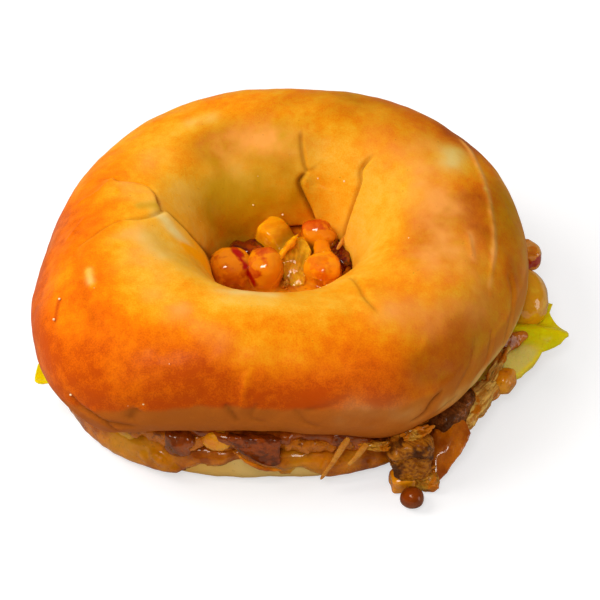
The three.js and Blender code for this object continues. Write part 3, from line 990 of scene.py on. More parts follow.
@dataclass
class Crown:
    """The upper half of the bagel."""

    height: float = 24.1
    waist: float = 7.5
    tuck_inward: float = 11.9
    tuck_downward: float = 10.0
    fullness: float = 2.19
    crest_place: float = 0.51
    columns: int = 500
    crust_rows: int = 180
    face_rows: int = 10
    low_corner_rows: int = 10
    hole_corner_rows: int = 5
    corner_passes: int = 14
    face_rise: float = -60.0
    sags: tuple[Spot, ...] = ((4.6, 230.5, 7.0), (2.4, 302.0, 8.0))
    folds: tuple[Fold, ...] = (
        Fold(
            (
                (159.5, 69.5), (160, 79), (162, 84), (161, 97), (161.5, 104.5), (165.5, 110.5),
                (173.5, 115.5), (178.5, 131.5), (184.5, 142.5), (190, 153), (198, 166),
            ),
            1.5, 0.6, 0, 1.4, 4.5, 0.9,
        ),
        # Mostly painted shade: a dark line on the hole's wall just beyond the lobe's edge.
        Fold(
            ((169.5, 118.5), (171, 128), (172, 136), (169, 149), (156, 165), (147, 176.5)),
            0.4, 0.9, 0, 0, 3, 0.75,
        ),
        Fold(((171, 115), (177.5, 115), (183, 109.5), (186, 102), (187, 92)), 0.55, 0.8, 0.5, 0.2, 3, 0.35),
        Fold(((186, 94), (188.5, 86.5), (190, 82.5), (193.5, 74), (195.5, 64)), 0.2, 0.5, 0.2, 0, 2, 0.35),
        Fold(((171.5, 51), (170, 62), (168, 71)), -0.25, 0.5, swell_width=2, shade=0),
        Fold(((180, 66), (185, 59), (189, 52)), -0.22, 0.5, swell_width=2, shade=0),
        Fold(((241.5, 9), (240.5, 4), (239.5, -3)), 0.6, 1.8, 0.2, 0.2, 3, 0.45),
        Fold(((75, 112), (73, 124), (69, 136.5), (66, 141)), 0.6, 0.55, 0.6, 0, 3, 0.5),
        Fold(
            ((66, 140), (70.5, 147), (66.5, 155.5), (61, 163.5), (56.5, 171), (50, 180)),
            1.2, 0.65, 1.3, 0, 4.5, 0.7,
        ),
        Fold(
            ((39.5, 114), (40, 128), (36.5, 136), (34, 151.5), (33.5, 168.5), (34.5, 180)),
            1, 0.6, 1.1, 0, 4.5, 0.5,
        ),
        Fold(((322, 122), (318.5, 114), (311, 96), (308.5, 78.5)), 0.5, 0.8, 0.4, 0.2, 3, 0.3),
        Fold(
            (
                (33.5, 52), (30.5, 54), (27, 55.5), (21, 58.5), (12.5, 61.5), (4.5, 61), (357, 58),
                (351.5, 55), (346.5, 52), (341, 47),
            ),
            -0.34, 0.62, 0, 0, 3, 0,
        ),
        Fold(((355, 76), (350, 71), (346, 66)), -0.35, 0.7, shade=0),
        Fold(((259.5, 14), (263, -3)), 0.5, 0.8, 0.2, 0.2, 2, 0.4),
        Fold(((265, 40), (264.2, 24), (263.5, 7.5)), -0.3, 0.9, shade=0),
        Fold(((268, 16), (266, 2), (270, -6)), 0.3, 0.9, 0.15, 0.15, 2.5, 0.2),
        Fold(((313, 10), (310, 6), (308, -2), (304.5, -9)), 0.9, 0.8, 0.5, 0.5, 2.6, 0.5),
        Fold(((318, -6), (314, -8), (311, -14)), 0.6, 0.7, 0.3, 0.4, 2.2, 0.35),
        Fold(((349, 38), (346.5, 26), (341, 10), (337, -4)), 0.45, 1, 0.35, 0.1, 2.6, 0.15),
        Fold(((334, 24), (329, 4), (323, -8)), 0.45, 1, 0.3, 0.2, 2.6, 0.15),
        Fold(((277, 12), (279, 2), (283, -8)), 0.3, 0.9, 0.15, 0.15, 2.5, 0.2),
        Fold(((288, 20), (283, 14), (279, 10)), 0.25, 1.2, 0.1, 0.1, 2.5, 0.1),
        Fold(((231, -2), (234, -11), (237, -30)), 0.8, 0.6, 0.6, 0.2, 2.2, 0.6),
        Fold(((192, 63), (203, 67), (213, 68.5), (222, 62), (227.5, 56.5)), 0.35, 1.6, 0.15, 0.15, 3, 0.1),
        Fold(((226, 6), (230, -4), (236, -12), (241, -16)), 0.5, 0.8, 0.2, 0.3, 2.5, 0.4),
        Fold(((313, 52), (315.5, 34), (318, 15)), -0.35, 2, shade=0),
        Fold(((328, 30), (322, 12), (316, 0)), 0.4, 1.5, 0.2, 0.2, 3, 0.1),
    )
    pale_patches: tuple[Patch, ...] = patches(
        (111.5, 89.5, 124, 86, 3.4, -0.22), (26, 73, 23, 78, 5, -0.3), (172, 73.5, 166, 80, 2.6, -0.12),
        (139, 85.5, 130, 88, 4, -0.12), (208.5, 73, 214.5, 72, 1, -0.32),
        (216.5, 44.5, 214, 50, 3, -0.10), (223, 8, 216, 4, 5, -0.16), (250, 94, 276, 95, 3, -0.16),
        (182, 116, 199, 135, 2, -0.2), (197, 110, 217, 124, 3.5, -0.2), (176.5, 102, 175, 111, 1.6, -0.2),
        (4, 147, 16, 150, 6, -0.12), (264.5, 36, 263.5, 10, 0.9, -0.2), (240, 20, 236, 30, 3, -0.06),
    )
    # Painted light in brown_patches: the rows at (8, 76) and (0.5, 74) darken beside the ridge as painted
    # shade.
    # The row at (145.5, 129.5), of strength -0.34, lightens the hole's wall beside the left fold as painted
    # light.
    brown_patches: tuple[Patch, ...] = patches(
        (258, 22, 282, 20, 4.5, 0.08), (8, 76, 346, 65, 3.2, 0.12), (57, 48, 38, 57, 5, 0.2),
        (172, 60, 186, 62, 8, 0.12), (216, 68, 226, 70, 7, 0.12), (150, 70, 162, 74, 6, 0.10),
        (243, 54.5, 253, 42, 7, 0.27), (233.5, 41.5, 217.5, 38, 7, 0.14), (193, 51, 178.5, 60.5, 7, 0.14),
        (280, 36, 294.5, 42, 5, 0.12), (318, 45, 316.5, 21.5, 7, 0.18), (0.5, 74, 10.5, 66, 5, 0.20),
        (24.5, 48, 30, 62, 6, 0.28), (336, 46.5, 347, 30, 7, 0.08), (145.5, 129.5, 120, 140, 6, -0.34),
        (352, 102, 2, 100, 5, 0.10), (294, 59, 300, 50, 6, 0.06), (210, 60, 225, 62, 6, 0.05),
    )
    # Painted sheen: pinkish reflections on the crest, the right shoulder and the lower right rim, and a
    # painted highlight along the ridge.
    painted_sheen_patches: tuple[Patch, ...] = patches(
        (92, 115, 112, 118, 5, 0.4), (346, 86, 4, 96, 6, 0.5), (334, 52, 340, 66, 6, 0.5),
        (320, 62, 312, 80, 4.5, 0.6), (23.5, 114, 40, 108, 5, 0.4), (205, 106, 215, 96, 4, 0.4),
        (146, 94, 140, 92, 4, 0.4), (166.5, 88, 168, 106, 2.6, 1), (31, 54, 21, 58.5, 0.65, 1),
        (21, 58.5, 4.5, 61, 0.6, 0.9), (4.5, 61, 351.5, 55, 0.65, 1), (351.5, 55, 341, 47, 0.65, 0.9),
        (30, 90, 13, 95, 5, 0.45), (13, 95, 340, 88, 6, 0.3), (199.5, 90.5, 192, 105, 2, 0.5),
        (216, 105, 224, 104.5, 2.2, 0.5), (229.5, 90, 241.5, 85, 3, 0.4), (241.5, 85, 257, 63.5, 2.6, 0.35),
        (119, 109.5, 90.5, 117, 4, 0.3), (90.5, 117, 75.5, 121.5, 4, 0.3), (355, 74, 346, 66, 0.7, 0.6),
        (358, 16, 338, -2, 2.4, 0.6), (334, -6, 300, -14, 2.4, 0.4), (180, 30, 190, 20, 2, 0.2),
    )
    # Pale dough; the rows along the ridge, (30, 54) to (351, 54.5), are a painted highlight, and those on the
    # lower right rim, (359.5, 22) to (314, -4), a painted sheen.
    pale_and_sheen_patches: tuple[Patch, ...] = patches(
        (26, 72, 23, 78, 2.8, 0.95), (182, 116, 198, 134, 1.5, 1), (30, 54, 12, 61.5, 0.6, 0.5),
        (12, 61.5, 351, 54.5, 0.6, 0.5), (200, 106, 212, 112, 2.6, 0.5), (251, 112, 271, 112, 2.4, 0.6),
        (119, 85, 113, 88, 2, 0.3), (208.5, 73, 213, 72, 0.8, 0.5), (359.5, 22, 356, 1, 1.3, 0.6),
        (356, 1, 347, -9.5, 1.5, 0.6), (347, -9.5, 334, -17, 2.6, 1), (334, -17, 326, -18, 2.4, 1.2),
        (328, -16, 314, -4, 2.2, 0.8), (290, 7, 304, 2, 4, 0.3),
    )
    # Olive tone, and painted shade where shade falls: on the hole's back and left walls, over the right side
    # and beside the ridge.
    olive_and_shade_patches: tuple[Patch, ...] = patches(
        (142, 132, 134, 147.5, 5, 0.2), (134, 147.5, 115, 156, 6, 0.35), (115, 156, 80, 155, 7, 0.9),
        (120, 138, 90, 142, 6, 0.4), (176.5, 102, 175, 111, 1.6, 0.9), (197, 110, 217, 124, 3.5, 0.4),
        (8, 76, 346, 65, 3.2, 0.4), (98, 118, 118, 112, 8, 0.8), (76, 122, 108, 114, 6, 0.3),
        (60, 88, 84, 92, 7, 0.25), (0.5, 75.5, 10.5, 49, 7, 0.8), (318, 45, 336, 46, 7, 0.45),
        (18, 44, 28, 52, 6, 0.4), (34, 66, 62, 72, 10, 0.7), (70, 80, 84, 86, 7, 0.22),
        (340, 26, 4, 32, 9, 0.65), (310, 24, 322, 20, 7, 0.75), (350, 94, 6, 100, 8, 0.45),
    )
    smear_patches: tuple[Patch, ...] = patches((211.5, 49.5, 215, 41.5, 0.55, 0.85))
    sauce_patches: tuple[Patch, ...] = patches((203, 134, 206, 152, 2.1, 1.1))
    brown_side: float = 232.0
    dark_toast: Curve = (
        (-50, 0, 20, 35, 50, 72, 85, 95, 105, 125, 150, 180),
        (0.8, 0.98, 1.0, 0.76, 0.58, 0.56, 0.48, 0.3, 0.28, 0.2, 0.2, 0.2),
    )
    light_toast: Curve = (
        (-50, 0, 20, 35, 60, 75, 90, 105, 120, 136, 150, 180),
        (0.5, 0.5, 0.42, 0.38, 0.42, 0.45, 0.45, 0.42, 0.3, 0.28, 0.33, 0.36),
    )
    band_edge: Curve = (
        (20, 80, 160, 225, 235, 240, 246, 254, 263, 273, 283, 292, 302, 313, 327, 339, 345),
        (8, 6, 2, -6, 3, 8.5, 8.5, 12.5, 11.5, 11, 14.5, 14.5, 12, 15, 18, 17.5, 19),
    )
    band_strength: Curve = (
        (20, 160, 220, 240, 300, 345),
        (0.4, 0.3, 0.5, 0.95, 0.9, 0.6),
    )

    def sag(self, angle: Array) -> Array:
        """How far the lower edge hangs below the cut face."""
        return sum(drop * bump(angle, at, spread) for drop, at, spread in self.sags)

    def surface(self, angle: Array, rise: Array) -> Array:
        """Points of the smooth crust.

        Args:
            angle: The angles, in degrees.
            rise: The rises, in degrees, of the same shape.

        Returns:
            The points, with one more axis.
        """
        outer, inner = CROWN_OUTER.at(angle), CROWN_INNER.at(angle)
        face = CROWN_FACE.at(angle)
        crest = inner + self.crest_place * (outer - inner)
        middle = face + self.waist
        turn = np.radians(rise)
        cos, sin = np.abs(np.cos(turn)), np.sin(turn)
        power = 2.0 / self.fullness
        stretch = 1.0 + self.sag(angle) / self.waist
        outside = (
            crest + (outer - crest) * cos**power,
            middle + (self.height - self.waist) * np.maximum(sin, 0.0) ** power,
        )
        under = (outer - self.tuck_inward * (1.0 - cos), middle + self.tuck_downward * stretch * sin)
        inside = (crest - (crest - inner) * cos, face + self.height * np.abs(sin))
        radius = np.select([rise < 0.0, rise <= 90.0], [under[0], outside[0]], inside[0])
        height = np.select([rise < 0.0, rise <= 90.0], [under[1], outside[1]], inside[1])
        return polar(radius, angle, height)

    def rises(self) -> Array:
        """Rises that divide the section's crust into even steps."""
        lowest = -math.degrees(math.asin(self.waist / self.tuck_downward))
        fine = np.linspace(lowest, 180.0, 3000)
        line = self.surface(np.full_like(fine, 90.0), fine)
        length = np.concatenate([[0.0], np.cumsum(np.linalg.norm(np.diff(line, axis=0), axis=1))])
        return np.interp(np.linspace(0.0, length[-1], self.crust_rows), length, fine)

    def build(self) -> Solid:
        """The crown with its folds and unevenness, and its masks."""
        rises = self.rises()
        angles = ring_angles(self.columns)
        angle, rise = np.meshgrid(angles, rises)
        crust = self.surface(angle, rise)
        share = np.linspace(0.0, 1.0, self.face_rows + 2)[1:-1, None, None]
        face = blend(crust[-1][None], crust[0][None], share)
        loop = self._round_corners(np.concatenate([crust, face]))
        solid = ring_solid(loop)
        on_face = np.repeat(np.arange(len(loop)) >= self.crust_rows, self.columns)
        spots = solid.points.copy()
        normals = solid.normals()
        dents, crease_shades = self._fold_marks(spots, normals)
        solid.push(np.where(on_face, 0.0, dents + self._baked_skin(spots)))
        solid.push(np.where(on_face, lumpy(1, spots, 0.35, 3), 0.0))
        angle_all = np.tile(angles, len(loop))
        rise_all = np.concatenate([rise.ravel(), np.full(self.face_rows * self.columns, self.face_rise)])
        self._paint(solid, spots, angle_all, rise_all, on_face)
        solid.masks["crease"] = crease_shades
        return solid

    def _round_corners(self, loop: Array) -> Array:
        """Rounds the two edges where the crust meets the cut face."""
        near = np.zeros(len(loop))
        near[: self.low_corner_rows] = 1.0
        near[self.crust_rows - self.hole_corner_rows :] = 1.0
        for _ in range(self.corner_passes):
            loop = blend(loop, between_rows(loop), 0.5 * near[:, None, None])
        return loop

    def _baked_skin(self, spots: Array) -> Array:
        """Slow swells, dimples and fine wrinkles."""
        return lumpy(2, spots, 0.55, 22, 2) + lumpy(3, spots, 0.1, 5, 2) + lumpy(4, spots, 0.022, 1.6)

    def _fold_marks(self, spots: Array, normals: Array) -> tuple[Array, Array]:
        """How far the folds move each point, and how strong the painted shade in its crease is.

        Args:
            spots: The points of the smooth crust.
            normals: Their outward directions.

        Returns:
            The distances to push by, and the mask of painted crease shade.
        """
        dents = np.zeros(len(spots))
        crease_shades = np.zeros(len(spots))
        for fold in self.folds:
            places = crust_path(fold.path, FOLD_STEPS * len(fold.path))
            line = self.surface(places[:, 0], places[:, 1])
            ahead = np.gradient(line, axis=0)
            reach = 3.0 * max(fold.swell_width, fold.width)
            near = np.all((spots > line.min(0) - reach) & (spots < line.max(0) + reach), axis=1)
            index = np.nonzero(near)[0]
            gaps = spots[index, None] - line[None]
            away = np.linalg.norm(gaps, axis=2)
            nearest = away.argmin(axis=1)
            rows = np.arange(len(index))
            distance = away[rows, nearest]
            side = np.sum(np.cross(ahead[nearest], gaps[rows, nearest]) * normals[index], axis=1)
            share = nearest / (len(line) - 1.0)
            fade = ease(share, *FOLD_ENDS) * ease(1.0 - share, *FOLD_ENDS)
            swell = np.where(side > 0.0, fold.left_swell, fold.right_swell)
            swell = swell * ease(distance, 0.0, fold.width) * fade_out(distance, fold.swell_width)
            dents[index] += fade * (swell - fold.depth * fade_out(distance, fold.width))
            # Painted shade along the fold's line.
            mark = fold.shade * np.exp(-((distance / (0.55 * fold.width + 0.15)) ** 2))
            crease_shades[index] = np.maximum(crease_shades[index], fade * mark)
        return dents, crease_shades

    def _patch_sum(self, marks: Sequence[Patch], spots: Array) -> Array:
        """The patches' strengths added up at each point."""
        total = np.zeros(len(spots))
        for patch in marks:
            places = crust_path((patch.start, patch.end), 16)
            line = self.surface(places[:, 0], places[:, 1])
            away = np.min([np.linalg.norm(spots - point, axis=1) for point in line], axis=0)
            total += patch.strength * np.exp(-((away / patch.spread) ** 2))
        return total

    def _paint(self, solid: Solid, spots: Array, angle: Array, rise: Array, on_face: Array) -> None:
        """Adds the crown's masks of colour, painted sheen and shade among them.

        Args:
            solid: The crown.
            spots: Its points before folds and unevenness.
            angle: Their angles.
            rise: Their rises.
            on_face: Which of them lie on the cut face.
        """
        cloud = lumpy(5, spots, 1.0, 12, 4)
        small = lumpy(6, spots, 1.0, 4)
        browned = ease(np.cos(np.radians(angle - self.brown_side)), 0.05, 0.5)
        level = blend(np.interp(rise, *self.light_toast), np.interp(rise, *self.dark_toast), browned)
        toast = level + 0.05 * cloud + 0.03 * small
        toast += self._patch_sum(self.pale_patches, spots) + self._patch_sum(self.brown_patches, spots)
        edge = np.interp(angle, *self.band_edge, period=360.0) + lumpy(7, spots, 1.2, 5)
        band = (1.0 - ease(rise - edge, -3.5, 1.5)) * np.interp(angle, *self.band_strength, period=360.0)
        washes = {
            "bloom": (self.painted_sheen_patches, 0.8 + 0.5 * small),
            "smear": (self.smear_patches, 1.0),
            "olive": (self.olive_and_shade_patches, 1.0 + 0.4 * cloud),
            "cream": (self.pale_and_sheen_patches, 1.0 + 0.5 * small),
            "sauced": (self.sauce_patches, 1.2 + small),
        }
        for name, (places, strength) in washes.items():
            solid.masks[name] = np.clip(self._patch_sum(places, spots) * strength, 0.0, 1.0)
        solid.masks["toast"] = np.clip(toast, 0.02, 1.0)
        solid.masks["band"] = np.where(on_face, 0.0, band * (1.0 - 0.8 * solid.masks["cream"]))
        solid.masks["cut"] = on_face.astype(float)

    def dress(self, finishes: Materials) -> None:
        """Builds the crown and puts it in the scene."""
        show("crown_crust", self.build(), finishes["crust"], "crust", "crown")


# ------------------------------------------------------------------------------------------------- heel


@dataclass
class Heel:
    """The lower half of the bagel, and the sauce that has run down it."""

    edge_inward: float = 5.5
    edge_height: float = 4.5
    edge_turns: tuple[float, ...] = (90.0, 70.0, 50.0, 30.0, 12.0, 0.0)
    columns: int = 400
    rows: int = 120
    corner_passes: int = 3
    glaze: float = 0.65
    glaze_depth: float = 0.3
    glaze_inward: float = 7.5
    skin_voxel: float = 0.43
    pale_side: float = 266.0
    fatty: tuple[Spot, ...] = ((0.9, 278.0, 6.0), (0.8, 232.0, 7.0), (0.4, 100.0, 40.0))
    runs: tuple[tuple[tuple[Spot, ...], tuple[float, ...], tuple[float, ...]], ...] = (
        (
            ((-28.6, -41.8, 8.4), (-25.8, -44.2, 6.4), (-22.6, -45.8, 5.8), (-19.8, -46.6, 5.2)),
            (3, 3.6, 2.6, 1),
            (1.2, 1.8, 1.6, 0.8),
        ),
        (
            ((-26.0, -44.0, 8.6), (-23.6, -45.6, 7.6), (-21.4, -46.2, 6.6)),
            (1.8, 2.4, 1.4),
            (1.2, 1.8, 1),
        ),
    )
    glaze_reach: Curve = (
        (20, 100, 150, 190, 205, 240, 247, 253, 261, 270, 276, 282, 286, 300, 315, 335),
        (6, 7, 5, 3, 1.4, 1.6, 4.4, 6.8, 7.8, 7.4, 6.6, 4.2, 1.6, 1.0, 2, 5),
    )

    def key_section(self, angle: Array) -> Array:
        """The section's corner points at each angle, outer side going up."""
        edge, hole, top = HEEL_OUTER.at(angle), HEEL_HOLE.at(angle), HEEL_TOP.at(angle)
        corner = [
            (edge - self.edge_inward * (1.0 - np.cos(turn)), self.edge_height * (1.0 - np.sin(turn)))
            for turn in np.radians(self.edge_turns)
        ]
        face = [(edge - 0.4, 0.75 * top), (edge - 1.4, top), (hole + 0.5, top)]
        wall = [(hole, 0.55 * top), (hole + 0.8, 1.4), (hole + 2.6, 0.0)]
        return np.stack([polar(radius, angle, height) for radius, height in corner + face + wall])

    def loop(self, angle: Array) -> Array:
        """The section as evenly spread rows, with its corners rounded."""
        keys = self.key_section(angle)
        closed = np.concatenate([keys, keys[:1]])
        steps = np.linalg.norm(np.diff(closed[:, 0], axis=0), axis=1)
        along = np.concatenate([[0.0], np.cumsum(steps)])
        wanted = np.linspace(0.0, along[-1], self.rows, endpoint=False)
        before = np.clip(np.searchsorted(along, wanted, side="right") - 1, 0, len(keys) - 1)
        share = ((wanted - along[before]) / steps[before])[:, None, None]
        loop = blend(closed[before], closed[before + 1], share)
        flat = loop[..., 2] < 0.01
        for _ in range(self.corner_passes):
            loop = np.where(flat[..., None], loop, blend(loop, between_rows(loop), 0.5))
        return loop

    def build(self) -> Solid:
        """The bread, with its masks."""
        solid = ring_solid(self.loop(ring_angles(self.columns)))
        spots = solid.points.copy()
        height, turn = spots[:, 2], turn_of(spots)
        cut = ease(solid.normals()[:, 2], 0.6, 0.85) * ease(height, 5.0, 7.0)
        swell = lumpy(11, spots, 0.45, 14, 2) + lumpy(12, spots, 0.12, 4)
        under = ease(height, 0.2, 1.5)
        solid.push(under * blend(swell, 0.3 * swell, cut) + cut * lumpy(13, spots, 0.3, 1.8))
        cloud = lumpy(14, spots, 1.0, 10, 4)
        toast = blend(0.66 + 0.12 * cloud, 0.16 + 0.05 * cloud, ease(height, 0.1, 2.2))
        toast += 0.1 * ease(HEEL_HOLE.at(turn) + 2.0 - radius_of(spots), -1.0, 1.0)
        pale = bump(turn, self.pale_side, 24.0)
        solid.masks["toast"] = np.clip(toast, 0.0, 1.0)
        solid.masks["band"] = (0.35 - 0.3 * pale) * (1.0 - cut) * ease(height, 1.0, 5.0)
        # A faint blush on the heel's pale side, in the crown's sheen colour.
        solid.masks["bloom"] = 0.15 * pale
        solid.masks["olive"] = np.full(len(spots), 0.04)
        solid.masks["cream"] = np.clip(0.5 * ease(cloud, -0.2, 0.8) + 0.8 * pale, 0.0, 1.0)
        solid.masks["cut"] = cut
        return solid

    def glaze_low(self, angle: Array) -> Array:
        """How far down the side the sauce has run at each angle."""
        reach = np.interp(angle, *self.glaze_reach, period=360.0)
        spots = polar(np.full_like(angle, 50.0), angle, np.zeros_like(angle))
        return reach + lumpy(15, spots, 0.9, 5, 2)

    def build_glaze(self) -> Solid:
        """A film over the upper edge and side, sunk into the bread where there is none."""
        angles = ring_angles(self.columns)
        loop = self.loop(angles)
        kept = np.all(radius_of(loop) > HEEL_OUTER.at(angles) - self.glaze_inward, axis=1)
        outer, out = loop[kept], ring_solid(loop).normals().reshape(loop.shape)[kept]
        height, radius = outer[..., 2], radius_of(outer)
        covered = ease(height - self.glaze_low(angles), -0.5, 0.7)
        covered *= ease(radius - HEEL_OUTER.at(angles), -6.5, -4.5)
        ripples = lumpy(16, polar(radius, angles, height).reshape(-1, 3), 0.25, 3).reshape(height.shape)
        thin = 0.2 + 0.8 * ease(height, 0.3, 4.0)
        thick = thin * covered * (self.glaze * (1.0 + ripples) + 0.25) - self.glaze_depth * (1.0 - covered)
        film = outer + out * thick[..., None]
        back = outer[::-1] - out[::-1] * (2.0 * self.glaze_depth)
        return ring_solid(np.concatenate([film, back]))

    def dress(self, finishes: Materials) -> None:
        """Builds the heel and its glaze and puts them in the scene."""
        show("heel_bread", self.build(), finishes["crust"], "heel_bread", "heel")
        runs = [Ribbon(*run, (0.0, -0.9, 0.4), 2.2).solid() for run in self.runs]
        skin = remeshed(joined([self.build_glaze(), *runs]), self.skin_voxel, 3)
        fat = sum(level * bump(turn_of(skin.points), at, spread) for level, at, spread in self.fatty)
        skin.masks["fatty"] = np.clip(fat + lumpy(17, skin.points, 0.3, 5), 0.0, 1.0)
        skin.push(lumpy(18, skin.points, 0.08, 2.2, 2))
        show("heel_glaze", skin, finishes["glaze"], "sauce")


# ----------------------------------------------------------------------------------------------- layers


@dataclass
class Filling:
    """The layers that run through between crown and heel."""

    gap: float = 0.45
    leaf_thickness: float = 1.5
    chicken_share: float = 0.62
    least_height: float = 4.4
    bed_height: float = 14.8
    mound_radius: float = 7.0
    shelf_inset: float = 0.7
    droop: float = 0.3
    columns: int = 540
    bed_rows: int = 26
    edge_rows: int = 9
    leaf_rows: int = 60
    blade: float = 0.55
    leaf_lobes: tuple[Spot, ...] = (
        (-3, 255, 30), (-3, 300, 20), (8, 202, 6.5), (5, 55, 9), (5.5, 133, 10),
    )
    tip_place: float = 356.0
    tip_lift: float = 3.2
    edge_place: float = 350.0
    rib_height: float = 1.3
    leaf_tip: Curve = (
        (
            318, 325, 331.8, 338.3, 341.3, 345.4, 349.4, 351.2,
            353.5, 355.5, 357.9, 360.5, 363.4, 366, 372, 380,
        ),
        (30, 51, 54.3, 58.4, 61.4, 63.4, 65, 69, 71, 70.6, 68.6, 67, 68.4, 60, 53, 30),
    )
    rib_path: tuple[Place, ...] = ((60, -14.5), (57, -17.5), (53, -22), (48, -27))
    rib_reach: float = 3.8
    crown: Crown = field(default_factory=Crown)

    def under(self, radius: Array, angle: Array) -> Array:
        """Height of the heel's face, falling past the heel's edge."""
        level = np.clip(radius / self.mound_radius, 0.0, 1.0)
        past = np.maximum(0.0, radius - HEEL_OUTER.at(angle) + self.shelf_inset)
        return HEEL_TOP.mean + level * HEEL_TOP.swing(angle) - self.droop * past

    def over(self, radius: Array, angle: Array) -> Array:
        """Height of the crown's face over the filling, with a low mound in the open hole."""
        hole = CROWN_INNER.at(angle) - 1.0
        outward = np.clip((radius - hole) / (CROWN_OUTER.at(angle) - 4.0 - hole), 0.0, 1.0)
        face = CROWN_FACE.at(angle) - outward * self.crown.sag(angle)
        roomy = np.maximum(face, self.under(radius, angle) + self.least_height)
        climb = np.clip((radius - self.mound_radius) / (hole - self.mound_radius), 0.0, 1.0)
        return blend(self.bed_height, roomy, climb)

    def leaf_top(self, radius: Array, angle: Array) -> Array:
        """Height of the leaf's upper side."""
        return self.under(radius, angle) + self.gap + self.leaf_thickness

    def chicken_top(self, radius: Array, angle: Array) -> Array:
        """Height of the chicken's upper side."""
        return blend(self.under(radius, angle), self.over(radius, angle), self.chicken_share)

    def slab(
        self, edge: Array, low: Height, high: Height, rows: int, start: float = 0.6, bulge: float = 0.8
    ) -> tuple[Array, Array]:
        """A layer's closed section at each angle: under side outwards, rounded edge, upper side inwards.

        Args:
            edge: The layer's radius at each angle.
            low: Height of its under side.
            high: Height of its upper side.
            rows: How many rows each side has.
            start: Radius of its inner edge.
            bulge: How far its outer edge is rounded out.

        Returns:
            The rows of points, and each row's share of the way out.
        """
        angle = ring_angles(self.columns)[None]
        share = np.linspace(0.0, 1.0, rows)[:, None] ** 0.8
        radius = start + (edge[None] - start) * share
        below = polar(radius, angle, low(radius, angle))
        above = polar(radius, angle, high(radius, angle))
        turns = np.radians(np.linspace(-75.0, 75.0, self.edge_rows))[:, None]
        foot, head = low(edge[None], angle), high(edge[None], angle)
        height = 0.5 * (foot + head) + 0.5 * (head - foot) * np.sin(turns)
        rounded = polar(edge[None] + bulge * np.cos(turns), angle, height)
        shares = np.concatenate([share[:, 0], np.ones(self.edge_rows), share[::-1, 0]])
        return np.concatenate([below, rounded, above[::-1]]), shares

    def uneven(
        self, ratio: float, wave: float, ripples: tuple[int, int], number: int, rough: float
    ) -> Array:
        """A layer's edge at each angle: a part of the heel's radius, made uneven."""
        angle = ring_angles(self.columns)
        slow = np.sin(np.radians(ripples[0] * angle + 20.0))
        slow += 0.5 * np.cos(np.radians(ripples[1] * angle + 60.0))
        spots = polar(np.full_like(angle, 50.0), angle, np.zeros_like(angle))
        return ratio * HEEL_OUTER.at(angle) + wave * slow + lumpy(number, spots, rough, 6, 4)

    def near_rib(self, points: Array) -> Array:
        """How close points are to the leaf's pale rib, from 0 to 1."""
        line = smooth_path(self.rib_path, 40)
        away = np.min([np.hypot(points[:, 0] - x, points[:, 1] - y) for x, y in line], axis=0)
        return np.exp(-((away / self.rib_reach) ** 4))

    def build_leaf(self) -> Solid:
        """The lettuce leaf, ruffled where it sticks out."""
        angle = ring_angles(self.columns)
        lobes = sum(reach * bump(angle, at, spread) for reach, at, spread in self.leaf_lobes)
        tip = np.interp(np.where(angle < 180.0, angle + 360.0, angle), *self.leaf_tip)
        edge = np.maximum(self.uneven(0.96, 0.7, (7, 19), 21, 0.8) + lobes, tip)

        def low(radius: Array, turn: Array) -> Array:
            """The height of the layer's lower face."""
            return self.under(radius, turn) + self.gap + 0.2

        def high(radius: Array, turn: Array) -> Array:
            """The height of the layer's upper face."""
            return low(radius, turn) + self.blade

        loop, shares = self.slab(edge, low, high, self.leaf_rows, bulge=0.25)
        solid = ring_solid(loop)
        points = solid.points
        turn, past = turn_of(points), radius_of(points) - HEEL_OUTER.at(turn_of(points))
        out = ease(past, -4.0, 6.0)
        ruffle = 0.9 * np.sin(np.radians(turn * 37.0)) + lumpy(22, points, 0.9, 7, 2)
        pale = self.near_rib(points)
        points[:, 2] += out * (1.0 - 0.8 * pale) * ruffle * 1.4 + out
        points[:, 2] += self.tip_lift * bump(turn, self.tip_place, 9.0) * ease(past, 2.0, 18.0)
        points[:, 2] += lumpy(23, points, 0.16, 2.4, 2)
        upper = np.repeat(np.arange(len(loop)) > self.leaf_rows + 4, self.columns)
        points[:, 2] += np.where(upper, self.rib_height * pale * out, 0.0)
        bent = turn + lumpy(24, points, 2.5, 12, 2)
        vein = np.exp(-((np.abs((bent * 0.5) % 4.0 - 2.0) / 0.16) ** 2))
        share = np.repeat(shares, self.columns)
        solid.masks["vein"] = vein * (0.2 + 0.4 * share)
        solid.masks["rib"] = np.clip(pale * 1.1 * out, 0.0, 1.0)
        solid.masks["edge"] = ease(share, 0.985, 1.0) * (0.3 + 0.6 * bump(turn, self.edge_place, 14.0))
        return solid

    def build_chicken(self) -> Solid:
        """The chicken, pulled and pressed."""
        edge = self.uneven(0.965, 0.9, (5, 13), 31, 1.3)

        def low(radius: Array, turn: Array) -> Array:
            """The height of the layer's lower face."""
            return self.leaf_top(radius, turn) - 0.6

        loop, _ = self.slab(edge, low, self.chicken_top, self.bed_rows, start=3.0)
        solid = ring_solid(loop)
        out = ease(radius_of(solid.points), 30.0, 44.0)
        lumps = lumpy(32, solid.points, 0.7, 5) + lumpy(33, solid.points, 0.3, 1.6, 2)
        solid.push((0.3 + 0.7 * out) * lumps)
        return solid

    def build_sauce(self) -> Solid:
        """The sauce over the chicken, hanging over its edge here and there."""
        edge = self.uneven(0.955, 0.8, (7, 11), 41, 1.2)
        angle = ring_angles(self.columns)
        spots = polar(np.full_like(angle, 48.0), angle, np.full_like(angle, 3.0))
        drips = ease(lumpy(42, spots, 1.0, 8, 2), -0.1, 0.7)

        def low(radius: Array, turn: Array) -> Array:
            """The height of the layer's lower face."""
            hang = 3.4 * drips[None] * ease(radius / edge[None], 0.9, 1.0)
            return self.chicken_top(radius, turn) - 0.3 - hang

